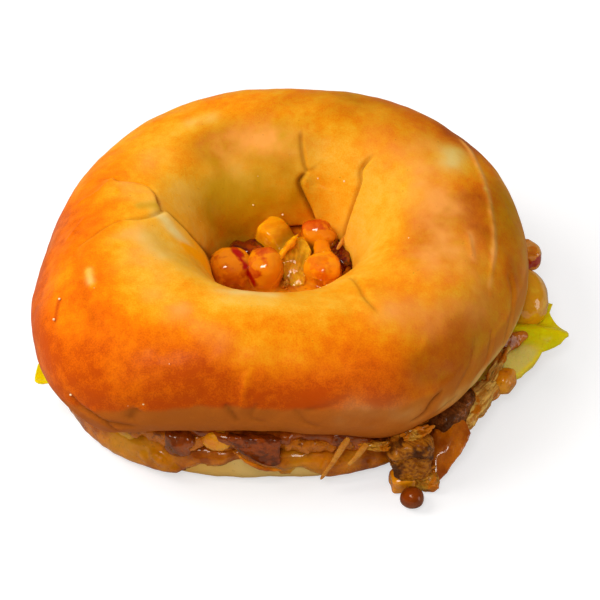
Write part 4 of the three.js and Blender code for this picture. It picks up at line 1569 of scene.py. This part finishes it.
        def high(radius: Array, turn: Array) -> Array:
            """The height of the layer's upper face."""
            return self.over(radius, turn) - 0.35

        loop, _ = self.slab(edge, low, high, self.bed_rows, start=3.0, bulge=1.1)
        solid = ring_solid(loop)
        solid.push(lumpy(43, solid.points, 0.28, 6, 2))
        return solid

    def dress(self, finishes: Materials) -> None:
        """Builds the layers and puts them in the scene."""
        show("leaf", self.build_leaf(), finishes["leaf"], "lettuce", "lettuce_leaf")
        show("chicken_bed", self.build_chicken(), finishes["pulled"], "chicken", "chicken_layer")
        # The sauce bed's finish is darkened as painted shade under the crown.
        show("sauce_bed", self.build_sauce(), finishes["bed_sauce_shaded"], "sauce", "sauce_layer")


# ----------------------------------------------------------------------------------------------- pieces


@dataclass(frozen=True)
class Morsel:
    """A loose piece of the filling that stands for one node."""

    node: str
    finish: str
    slot: str
    half: Spot
    turn: float = 0.0
    square: float = 3.2
    lumps: float = 0.25
    roughness: float = 0.05
    shift: Spot = (0.0, 0.0, 0.0)
    marks: tuple[tuple[str, float, tuple[Spot, ...]], ...] = ()
    tilt: float = 0.0
    groove: float = 0.0
    level: int = 5

    def solid(self, number: int) -> Solid:
        """The piece around the middle of its node, with its marks as masks."""
        form = lump_solid(self.half, self.square, self.level)
        trough = np.exp(-(((form.points[:, 0] / self.half[0] - 0.35) / 0.38) ** 2))
        trough *= ease(form.points[:, 2], -0.5 * self.half[2], self.half[2])
        form.points[:, 2] -= self.groove * trough
        form.masks["trough"] = trough
        grain = Grain(SEED + number)
        form.push(self.lumps * grain.at(form.points + 50.0, 3.6, 2))
        if self.roughness:
            form.push(self.roughness * grain.at(form.points + 90.0, 1.1, 3))
        low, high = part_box(self.node)
        middle = (np.array(low) + np.array(high)) / (2.0 * MM) - RING_CENTRE
        form.points = turned(form.points, self.turn, self.tilt) + middle + np.array(self.shift)
        for name, width, path in self.marks:
            gaps = form.points[None] - smooth_path(path, 40)[:, None]
            aside = gaps - (gaps @ SEEN_FROM)[..., None] * SEEN_FROM
            away = np.linalg.norm(aside, axis=2).min(axis=0) + 0.5 * width * grain.at(form.points, 1.5, 2)
            form.masks[name] = 1.0 - ease(away, 0.5 * width, 1.2 * width)
        return form


STREAK = (
    "stain",
    0.8,
    ((-9.4, 6.4, 24.2), (-7.6, 2.7, 25.0), (-6.1, -0.8, 25.0), (-4.9, -3.4, 24.2), (-3.7, -5.3, 22.5)),
)
END_RIM = ("rim", 1.1, ((62.3, 15.5, 16.0), (64.2, 16.8, 16.0), (65.9, 16.0, 15.5), (66.3, 14.0, 14.0)))
END_RED = ("stain", 1.0, ((62.3, 12.4, 12.5), (64.1, 13.0, 12.3), (66.0, 14.3, 12.8)))
SEEN_FROM = np.array((0.0, -0.72, 0.69))
FIRST_MORSEL = 100
GRILLED = "grilled_meat"

DICE = (
    Morsel(
        "tomato_dice_1", "tomato", "tomato", (4.8, 4.9, 5.1), 20, 2.5, 0.3, 0.03, (-0.1, 0.4, 1.5), (STREAK,)
    ),
    Morsel(
        "tomato_dice_2", "tomato_skin", "tomato", (4.4, 5.1, 5.2), -6, 2.4, 0.3, 0.03, (0.2, 0.5, 1.6),
        (STREAK,),
    ),
    # tomato_dice_3's dark maroon is painted shade: a dark piece where the hole lies in shadow behind the
    # front dice.
    Morsel("tomato_dice_3", "maroon_and_shade", "tomato", (4.4, 3.0, 2.8), 10, lumps=0.6, shift=(1.2, 0.4, 1)),
    Morsel(
        "celery_dice", "celery", "celery", (5.7, 3.6, 3.7), -35, 5.5, 0.12, 0.03, (0.9, 0.3, 0.7), (), 12, 2.4
    ),
    Morsel("pepper_dice_1", "tomato_skin", "pepper", (4.4, 3.9, 4.2), 10, 2.3, 0.5, shift=(1.2, 0.3, 0.9)),
    Morsel("pepper_dice_2", "orange_sauce", "pepper", (4.2, 4.9, 4.4), 12, 2.3, 0.5, shift=(0.2, 0, 0.3)),
    Morsel("bacon_piece", "maroon_and_shade", GRILLED, (2.9, 4.0, 3.3), -20, 3.2, 0.7, 0.25, (0.2, 0, 0.3)),
    Morsel(
        "tomato_dice_4", "tomato_end", "tomato", (3.8, 3.8, 3.7), 12, 2.8, 0.4, 0.05, (-0.6, 0, 0.3),
        (END_RIM, END_RED),
    ),
    Morsel(
        "yellow_tomato", "yellow", "yellow_tomato", (6.2, 7.8, 7.3), 0, 2.05, 0.08, shift=(-0.6, -1.2, -0.2)
    ),
    Morsel("tomato_dice_5", "tomato", "tomato", (3.4, 3.6, 2.6), -10),
    Morsel("pepper_dice_3", "orange_sauce", "pepper", (3.3, 3.0, 3.1), -40),
    Morsel("carrot_cube", "orange_sauce", "pepper", (2.8, 2.3, 2.3), 8, 5.0, 0.2),
    Morsel("onion_bit", "onion", "onion", (3.1, 2.0, 1.9), -38),
)
MEAT = (
    Morsel("grilled_crumb", "brown_glaze", GRILLED, (3.6, 2.4, 3.2), -12, 2.6, 0.7, 0.06, (0.2, -0.4, 1.6)),
    Morsel("chicken_chunk", "browned", "chicken", (4.8, 4.2, 5.4), 8, 4.2, 0.6, 0.2),
    Morsel("chicken_crumb", "ochre", "chicken", (2.5, 1.9, 2.0), -10, 3.0, 0.4, 0.25),
    Morsel("chicken_left", "browned", "chicken", (6.8, 3.4, 2.5), 56, 3.0, 0.7, 0.2),
    Morsel("chicken_back", "browned", "chicken", (7.2, 3.4, 3.0), 20, 3.0, 0.7, 0.2),
    Morsel("grilled_back", "grilled", GRILLED, (7.0, 3.2, 4.0), -20, 3.4, 0.7, 0.2),
    Morsel("grilled_strip", "dark_meat", GRILLED, (6.6, 3.6, 3.0), 48, 3.0, 0.6, 0.15),
)
SAUCE_LUMPS = (
    Morsel("sauce_blob", "yellow_sauce", "sauce", (2.5, 3.2, 3.1), -30, 2.4, 0.5, shift=(-0.6, -1, -0.2)),
    Morsel("sauce_lump", "bright_sauce", "sauce", (3.3, 2.1, 2.8), -5, 2.3, 0.1, shift=(1, -1, 1.8)),
    Morsel("sauce_drop", "drip", "sauce", (2.6, 2.5, 2.5), 0, 2.1, 0.12, 0.0),
)


@dataclass(frozen=True)
class Slab:
    """A flat bite with a given outline, rounded at its edges."""

    outline: tuple[Spot, ...]
    thickness: float
    facing: Spot = (0.0, -0.94, 0.34)
    bulge: float = 0.0
    voxel: float = 0.3
    passes: int = 5

    def solid(self) -> Solid:
        """The slab, from its outline backwards."""
        front = np.asarray(self.outline, float)
        out = np.asarray(self.facing) / np.linalg.norm(self.facing)
        middle = front.mean(axis=0) + out * self.bulge
        back = front - out * self.thickness
        count = len(front)
        points = np.vstack([front, back, middle, back.mean(axis=0)])
        i = np.arange(count)
        after = (i + 1) % count
        triangles = (
            (i, after, np.full(count, 2 * count)),
            (count + after, count + i, np.full(count, 2 * count + 1)),
            (i, count + i, after),
            (after, count + i, count + after),
        )
        faces = np.concatenate([np.stack(corners, -1) for corners in triangles])
        return remeshed(Solid(points, faces), self.voxel, self.passes)


@dataclass(frozen=True)
class Bundle:
    """Pulled fibres of chicken that lie side by side."""

    start: Spot
    end: Spot
    spread: Spot
    strands: int
    width: float
    bow: float = 0.8

    def solid(self, number: int) -> Solid:
        """All the strands as one mesh."""
        chance = np.random.default_rng(SEED + number)
        first, last = np.array(self.start, float), np.array(self.end, float)
        reach = np.array(self.spread)
        forms = []
        for _ in range(self.strands):
            offset = chance.uniform(-1.0, 1.0, 3) * reach
            trim = chance.uniform(0.0, 0.22, 2)
            bend = chance.uniform(-1.0, 1.0, (2, 3)) * self.bow
            stops = [
                blend(first, last, trim[0]) + offset,
                blend(first, last, 0.35) + offset + bend[0],
                blend(first, last, 0.7) + offset + bend[1],
                blend(first, last, 1.0 - trim[1]) + offset * 1.1,
            ]
            wide = self.width * chance.uniform(0.6, 1.3)
            widths = (0.6 * wide, wide, 0.9 * wide, 0.5 * wide)
            thicknesses = (0.5 * wide, 0.8 * wide, 0.7 * wide, 0.4 * wide)
            strand = Ribbon(stops, widths, thicknesses, (0.2, -0.5, 1.0), 2.2, steps=30, around=10)
            forms.append(strand.solid())
        whole = joined(forms)
        whole.push(lumpy(number, whole.points, 0.12, 1.2, 2))
        return whole


@dataclass(frozen=True)
class Smear:
    """A run of sauce or a ridge of food that lies on the larger pieces."""

    finish: str
    path: tuple[Spot, ...]
    widths: tuple[float, ...]
    thicknesses: tuple[float, ...]
    slot: str = "sauce"


ONION_RIBS = 34.0
ONION_OUTLINE = (
    (1.2, 3.2, 20.8), (3.6, 0.9, 18.0), (5.5, -0.7, 17.2), (7.9, -0.1, 17.9), (8.8, 3.7, 20.2),
    (9.6, 7.1, 22.3), (8.9, 8.9, 23.2), (7.4, 10.1, 23.7), (5.3, 8.9, 22.8), (2.8, 7.4, 22.4),
    (0.9, 5.4, 21.9),
)
WEDGE_OUTLINE = (
    (-8.6, -47.2, 17.0), (-6.6, -47.4, 12.6), (-2.4, -48.4, 9.9), (1.4, -48.6, 8.7), (3.0, -48.2, 9.0),
    (2.9, -47.2, 16.4),
)
DRAPE_OUTLINE = (
    (35.9, -39.0, 7.5), (35.2, -41.2, 5.9), (34.5, -44.1, 3.9), (34.9, -46.6, 2.1), (36.6, -47.7, 1.4),
    (39.6, -45.4, 3.0), (41.8, -42.8, 4.8), (43.9, -40.4, 6.4), (45.1, -38.1, 8.1), (44.2, -35.8, 9.6),
    (42.3, -34.9, 10.3), (39.6, -35.7, 9.7), (37.3, -37.3, 8.6),
)
HOLE_BEDS = (((16.0, 14.0, 3.0), 3.0, (1.5, 3.0, 14.6)), ((7.0, 3.0, 2.4), 2.4, (5.5, 16.6, 18.2)))
SMEARS = {
    "wedge_rim": Smear(
        "glaze",
        ((-7.6, -48.0, 13.6), (-4.4, -48.8, 10.9), (-0.6, -49.1, 8.9), (3.2, -48.8, 8.1)),
        (0.5, 0.8, 0.8, 0.6),
        (0.6, 0.7, 0.7, 0.6),
    ),
    "bridge_run": Smear(
        "tomato", ((12.2, 11.0, 21.9), (12.2, 7.8, 21.4), (12.4, 4.0, 20.8)), (3.4, 4.4, 4.6), (2.0, 2.6, 2.4)
    ),
    "celery_lip": Smear(
        "celery",
        ((1.6, 2.6, 22.6), (2.9, 5.3, 22.9), (4.5, 8.1, 23.1), (6.5, 10.8, 23.8)),
        (1.0, 1.5, 1.9, 0.6),
        (3.0, 4.0, 4.0, 1.6),
        "celery",
    ),
    "ball_foot": Smear(
        "glaze", ((52.6, -13.4, 10.7), (56.4, -11.6, 10.2), (60.6, -8.8, 9.9)), (5.2, 4.6, 1.6),
        (0.9, 1.0, 0.5),
    ),
    "blob_tail": Smear(
        "yellow_sauce", ((53.4, -22.2, 7.2), (51.2, -24.4, 5.8), (48.6, -26.6, 4.8)), (3.0, 2.6, 1.4),
        (1.4, 1.4, 0.9),
    ),
}
FLAKE = Ribbon(((18.2, 11.6, 23.0), (17.2, 10.4, 22.2), (15.8, 8.6, 21.0)), (0.8, 1.2, 0.7), (0.5, 0.7, 0.5))
STRAND_FACING = (0.0, -1.0, 0.2)
STRANDS = {
    "cheese_strand_1": Ribbon(
        ((17.4, -47.0, 17.0), (14.4, -48.2, 11.0), (11.4, -48.9, 5.0)),
        (1.5, 1.2, 0.9),
        (1.0, 0.9, 0.8),
        STRAND_FACING,
    ),
    "cheese_strand_2": Ribbon(
        ((21.4, -47.4, 15.4), (19.4, -48.2, 12.4), (17.4, -48.6, 9.6)),
        (1.6, 1.2, 0.9),
        (1.0, 0.9, 0.8),
        STRAND_FACING,
    ),
}


@dataclass
class Pieces:
    """The loose pieces, the wedge of onion, the strands and what has run between them."""

    bed_level: int = 4
    voxel: float = 0.42

    def dress(self, finishes: Materials) -> None:
        """Builds every piece and puts it in the scene."""
        for number, morsel in enumerate(DICE + MEAT + SAUCE_LUMPS, FIRST_MORSEL):
            form = morsel.solid(number)
            show(f"{morsel.node}_food", form, finishes[morsel.finish], morsel.slot, morsel.node)
        self._dress_onion(finishes)
        self._dress_meat(finishes)
        self._dress_smears(finishes)
        self._dress_strands(finishes)
        self._dress_hole_sauce(finishes)

    def _dress_onion(self, finishes: Materials) -> None:
        """The bent wedge of onion among the dice, with its fine ribs."""
        form = Slab(ONION_OUTLINE, 2.2, (-0.1, -0.5, 0.86), 1.0, 0.22, 8).solid()
        foot = np.array(ONION_OUTLINE[2])
        fan = np.cos(ONION_RIBS * turn_of(form.points - foot) * math.pi / 180.0)
        form.push(0.02 * fan + lumpy(60, form.points, 0.2, 3, 2))
        form.masks["trough"] = np.clip(0.25 - 0.22 * fan + lumpy(62, form.points, 0.5, 2), 0.0, 1.0)
        show("onion_wedge", form, finishes["onion"], "onion", "onion_slice")

    def _dress_meat(self, finishes: Materials) -> None:
        """The grilled wedge at the front and the pulled strip at the side."""
        wedge = Slab(WEDGE_OUTLINE, 4.6, bulge=0.7).solid()
        wedge.push(lumpy(80, wedge.points, 0.35, 3, 2) + lumpy(81, wedge.points, 0.1, 0.9, 2))
        show("grilled_wedge", wedge, finishes["grilled"], GRILLED, "grilled_piece")
        strip = Morsel("chicken_strip", "pulled", "chicken", (8.6, 3.0, 2.6), 58, 2.8, 0.5, 0.2).solid(82)
        fibres = [
            Bundle((51.0, -22.0, 8.6), (44.6, -32.6, 6.8), (1.4, 1.2, 1.2), 16, 1.0).solid(83),
            Bundle((55.7, -12.2, 10.0), (49.5, -25.3, 9.0), (0.8, 0.6, 0.6), 12, 0.8, 0.5).solid(86),
            Bundle((53.6, -19.6, 8.8), (48.0, -27.6, 6.4), (0.9, 0.9, 1.6), 12, 0.9).solid(84),
        ]
        show("pulled_strip", joined([strip, *fibres]), finishes["fibrous"], "chicken", "chicken_strip")
        drape = Slab(DRAPE_OUTLINE, 3.4, (0.45, -0.6, 0.66), 1.5).solid()
        drape.push(lumpy(85, drape.points, 0.3, 4, 2))
        show("sauce_drape_food", drape, finishes["drape"], "sauce", "sauce_drape")

    def _dress_smears(self, finishes: Materials) -> None:
        """Runs of sauce, tomato and celery, torn crumbs and a flake of bread that lie on the larger pieces.
        """
        for name, smear in SMEARS.items():
            form = Ribbon(smear.path, smear.widths, smear.thicknesses, (0.0, -0.8, 0.6), 2.2).solid()
            form.push(lumpy(90, form.points, 0.2, 2, 2))
            show(name, form, finishes[smear.finish], smear.slot)
        crumbs = [
            Bundle((29.0, -45.4, 14.4), (36.0, -42.0, 14.2), (0.8, 0.8, 0.5), 8, 1.1).solid(92),
            Bundle((31.6, -48.0, 4.4), (36.6, -45.8, 4.0), (0.8, 0.8, 0.9), 9, 0.9).solid(93),
            Bundle((20.0, -47.0, 13.8), (27.0, -45.6, 13.4), (0.7, 0.6, 0.4), 7, 1.0).solid(94),
            Bundle((2.6, -1.6, 18.2), (4.0, 0.6, 18.8), (0.6, 0.6, 0.5), 7, 0.8, 0.4).solid(95),
        ]
        show("torn_crumbs", joined(crumbs), finishes["ochre"], "chicken")
        show("bread_flake", FLAKE.solid(), finishes["cheese"], "crust")

    def _dress_strands(self, finishes: Materials) -> None:
        """The two pale strands that lie slantwise over the side."""
        for node, strand in STRANDS.items():
            form = strand.solid()
            form.push(lumpy(61, form.points, 0.08, 2, 2))
            show(f"{node}_food", form, finishes["cheese"], "cheese", node)

    def _dress_hole_sauce(self, finishes: Materials) -> None:
        """Sauce that lies in the hole and climbs the dice."""
        blobs = []
        for number, morsel in enumerate(DICE[:7], FIRST_MORSEL):
            form = morsel.solid(number)
            middle = form.points.mean(axis=0)
            form.points = middle + (form.points - middle) * 1.08 + (0.0, 0.4, -2.2)
            blobs.append(form)
        for half, square, middle in HOLE_BEDS:
            bed = lump_solid(half, square, self.bed_level)
            bed.points += middle
            blobs.append(bed)
        show("hole_sauce", remeshed(joined(blobs), self.voxel, 4), finishes["sauce"], "sauce")


@dataclass
class Specks:
    """Beads of fat on the crust, near-white as painted glints."""

    crown: Crown = field(default_factory=Crown)
    places: tuple[Place, ...] = (
        (104, 154), (80.5, 167), (59.5, 144), (242.5, 13), (227, 4), (353.5, 78), (211.5, 50.5), (215, 41),
        (246, 45), (352, 108), (30, 132), (45, 140),
    )
    bead: float = 0.24
    scattered: int = 10

    def dress(self, finishes: Materials) -> None:
        """Builds the beads and puts them in the scene."""
        chance = np.random.default_rng(SEED + 70)
        spots = [(angle, rise, self.bead * (0.8 + 0.5 * chance.random())) for angle, rise in self.places]
        for _ in range(self.scattered):
            angle, rise = 360.0 * chance.random(), chance.uniform(5.0, 165.0)
            spots.append((angle, rise, self.bead * chance.uniform(0.35, 0.7)))
        beads = []
        for angle, rise, size in spots:
            bead = lump_solid((size, size, size), 2.0, 2)
            bead.points += self.crown.surface(np.array(angle), np.array(rise))
            beads.append(bead)
        show("crust_beads", joined(beads), finishes["droplets_and_glints"], "crust")


# ----------------------------------------------------------------------------------------------- studio


@dataclass(frozen=True)
class Lamp:
    """A square area light that looks at the bagel."""

    name: str
    place: Spot
    size: float
    power: float
    colour: Colour
    mirrored: bool = True

    def build(self) -> None:
        """Puts the lamp in the scene."""
        light = bpy.data.lights.new(self.name, "AREA")
        light.size = self.size * MM
        light.energy = self.power
        light.color = self.colour
        lamp = bpy.data.objects.new(self.name, light)
        bpy.context.scene.collection.objects.link(lamp)
        lamp.location = Vector(self.place) * MM
        lamp.rotation_euler = (-lamp.location).to_track_quat("-Z", "Y").to_euler()
        lamp.visible_glossy = self.mirrored


FLOOR_CORNERS = ((-1, -1), (1, -1), (1, 1), (-1, 1))
LAMPS = (
    Lamp("key", (-270.0, -20.0, 320.0), 220.0, 1.26, (1.0, 0.96, 0.9), False),
    Lamp("fill", (-120.0, -330.0, 190.0), 200.0, 0.12, (1.0, 0.97, 0.94), False),
    Lamp("side", (330.0, -130.0, 60.0), 160.0, 0.16, (1.0, 0.96, 0.92)),
    Lamp("catch", (-50.0, -240.0, 370.0), 120.0, 0.4, (1.0, 0.98, 0.96)),
    Lamp("back", (60.0, 330.0, 300.0), 320.0, 0.42, (1.0, 0.94, 0.9), False),
)


@dataclass
class Studio:
    """The floor, the light and the camera."""

    target: Spot = (6.95, -7.7, 20.0)
    elevation: float = 44.0
    distance: float = 348.0
    lens: float = 90.0
    sensor: float = 36.0
    nearest: float = 0.01
    floor_half: float = 3.0
    floor_seen: Colour = (0.5, 0.51, 0.53)
    floor_bounce: Colour = (0.46, 0.40, 0.31)
    floor_glow: float = 0.58
    sky: Colour = (1.0, 0.96, 0.9)
    sky_strength: float = 0.34
    sky_mirrored: float = 0.05

    def build(self) -> None:
        """Sets up floor, light and camera."""
        scene = bpy.context.scene
        scene.view_settings.view_transform = "Standard"
        self._floor()
        self._world()
        for lamp in LAMPS:
            lamp.build()
        self._camera()

    def _floor(self) -> None:
        """A pale floor that throws little light back."""
        mesh = bpy.data.meshes.new("floor")
        corners = [(x * self.floor_half, y * self.floor_half, 0.0) for x, y in FLOOR_CORNERS]
        mesh.from_pydata(corners, [], [(0, 1, 2, 3)])
        floor = bpy.data.objects.new("floor", mesh)
        bpy.context.scene.collection.objects.link(floor)
        material = bpy.data.materials.new("floor")
        material.use_nodes = True
        graph = Graph(material.node_tree)
        shader = material.node_tree.nodes["Principled BSDF"]
        seen = graph.node("ShaderNodeLightPath").outputs["Is Camera Ray"]
        graph.feed(shader.inputs["Base Color"], graph.tint(seen, self.floor_bounce, self.floor_seen))
        graph.feed(shader.inputs["Emission Strength"], graph.times(seen, self.floor_glow))
        shader.inputs["Emission Color"].default_value = (1.0, 1.0, 1.0, 1.0)
        shader.inputs["Roughness"].default_value = 0.9
        shader.inputs["Specular IOR Level"].default_value = 0.0
        mesh.materials.append(material)

    def _world(self) -> None:
        """Even white light from all around."""
        world = bpy.data.worlds.new("studio")
        world.use_nodes = True
        graph = Graph(world.node_tree)
        sky = world.node_tree.nodes["Background"]
        sky.inputs["Color"].default_value = (*self.sky, 1.0)
        mirrored = graph.node("ShaderNodeLightPath").outputs["Is Glossy Ray"]
        strength = graph.spread(mirrored, 0.0, 1.0, self.sky_strength, self.sky_mirrored)
        graph.feed(sky.inputs["Strength"], strength)
        bpy.context.scene.world = world

    def _camera(self) -> None:
        """The camera, level from side to side, looking down at the bagel."""
        camera = bpy.data.objects.new("camera", bpy.data.cameras.new("camera"))
        bpy.context.scene.collection.objects.link(camera)
        camera.data.lens = self.lens
        camera.data.sensor_width = self.sensor
        middle = Vector((np.array(self.target) + RING_CENTRE) * MM)
        tilt = math.radians(self.elevation)
        back = Vector((0.0, -math.cos(tilt), math.sin(tilt)))
        camera.location = middle + back * self.distance * MM
        camera.rotation_euler = back.to_track_quat("Z", "Y").to_euler()
        camera.data.clip_start = self.nearest
        bpy.context.scene.camera = camera


# ------------------------------------------------------------------------------------------------- main


def finish_table() -> dict[str, Finish]:
    """Every finish by the name that the pieces use."""
    thin = {"smoothest": 0.14, "roughest": 0.38, "wet": 0.35}
    drip = {"smoothest": 0.1, "roughest": 0.2, "wet": 0.3}
    drape = {"smoothest": 0.14, "roughest": 0.34}
    fibrous = {"charred": 0.08, "sauced": 0.3, "turn": -0.9}
    grilled = {"charred": 0.35, "sauced": -0.2, "wet": 0.5, "rough": 0.12, "grain": 1.8}
    return {
        "crust": CrustFinish(),
        "sauce": SauceFinish(),
        "glaze": SauceFinish("thin_sauce", srgb(218, 124, 4), srgb(158, 72, 1), **thin),
        "bright_sauce": SauceFinish("bright_sauce", srgb(255, 178, 12), srgb(240, 142, 3)),
        # Darker than the other sauce: painted shade under the crown's overhang.
        "bed_sauce_shaded": SauceFinish("sauce_darkened_as_shade", srgb(196, 96, 3), srgb(126, 46, 1)),
        "brown_glaze": SauceFinish("brown_glaze", srgb(160, 70, 2), srgb(92, 30, 1)),
        "drip": SauceFinish("caramel_sauce", srgb(138, 56, 1), srgb(88, 30, 0), **drip),
        "drape": SauceFinish("drape_sauce", srgb(208, 112, 3), srgb(162, 74, 1), **drape),
        "yellow_sauce": SauceFinish("yellow_sauce", srgb(236, 158, 12), srgb(212, 122, 2)),
        "tomato": DiceFinish("tomato", srgb(226, 118, 6), srgb(196, 78, 2), srgb(236, 134, 4), cover=0.75),
        "tomato_skin": DiceFinish("tomato_skin", srgb(226, 108, 18), srgb(196, 60, 6), srgb(238, 140, 6)),
        "tomato_end": DiceFinish(
            "tomato_end", srgb(228, 146, 20), srgb(214, 110, 8), srgb(232, 142, 10), cover=0.45
        ),
        # Maroon: the dark red of the bacon, and painted shade on tomato_dice_3.
        "maroon_and_shade": DiceFinish("maroon_and_shade", srgb(120, 24, 4), srgb(60, 8, 2), srgb(150, 50, 4), cover=0.12),
        "yellow": DiceFinish("yellow_tomato", srgb(246, 190, 34), srgb(220, 142, 6), srgb(236, 162, 10)),
        "orange_sauce": DiceFinish("orange_dice", srgb(238, 136, 8), srgb(222, 104, 2), srgb(242, 150, 10)),
        "celery": SkinFinish(
            "celery", srgb(255, 176, 12), srgb(236, 138, 2), -0.5, 1.4, 0.3, srgb(160, 116, 4)
        ),
        "onion": SkinFinish(
            "onion", srgb(250, 190, 36), srgb(214, 140, 4), 1.1, 0.7, 0.5, srgb(178, 118, 3), 0.35
        ),
        "cheese": SkinFinish("melted_cheese", srgb(220, 150, 50), srgb(190, 110, 18), 0.4, 0.8, 0.2, wet=0.3),
        "pulled": MeatFinish(
            "pulled_chicken", srgb(172, 92, 6), srgb(124, 54, 1), charred=0.15, sauced=0.8, wet=0.5
        ),
        "fibrous": MeatFinish("fibrous_chicken", srgb(240, 190, 92), srgb(190, 120, 32), **fibrous),
        "ochre": MeatFinish("ochre_crumb", srgb(220, 158, 50), srgb(168, 98, 10), charred=0.05, sauced=0.5),
        "browned": MeatFinish(
            "browned_chicken", srgb(190, 116, 22), srgb(142, 74, 8), charred=0.3, sauced=-0.2
        ),
        "grilled": MeatFinish("grilled_chicken", srgb(158, 66, 2), srgb(104, 36, 1), **grilled),
        "dark_meat": MeatFinish("dark_meat", srgb(150, 84, 34), srgb(100, 48, 12), charred=0.35, sauced=-0.3),
        "leaf": LeafFinish(),
        "droplets_and_glints": DropletFinish(),
    }


def make_finishes() -> Materials:
    """Every finish's material, by the name that the pieces use."""
    effects = Effects()
    return {key: finish.build(effects) for key, finish in finish_table().items()}


def main() -> None:
    """Builds the bagel around the frame, and the studio around the bagel."""
    logging.basicConfig(level=logging.INFO, format="%(name)s %(message)s")
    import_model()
    finishes = make_finishes()
    crown = Crown()
    crown.dress(finishes)
    Heel().dress(finishes)
    Filling().dress(finishes)
    Pieces().dress(finishes)
    Specks(crown).dress(finishes)
    Studio().build()


if __name__ == "__main__":
    main()
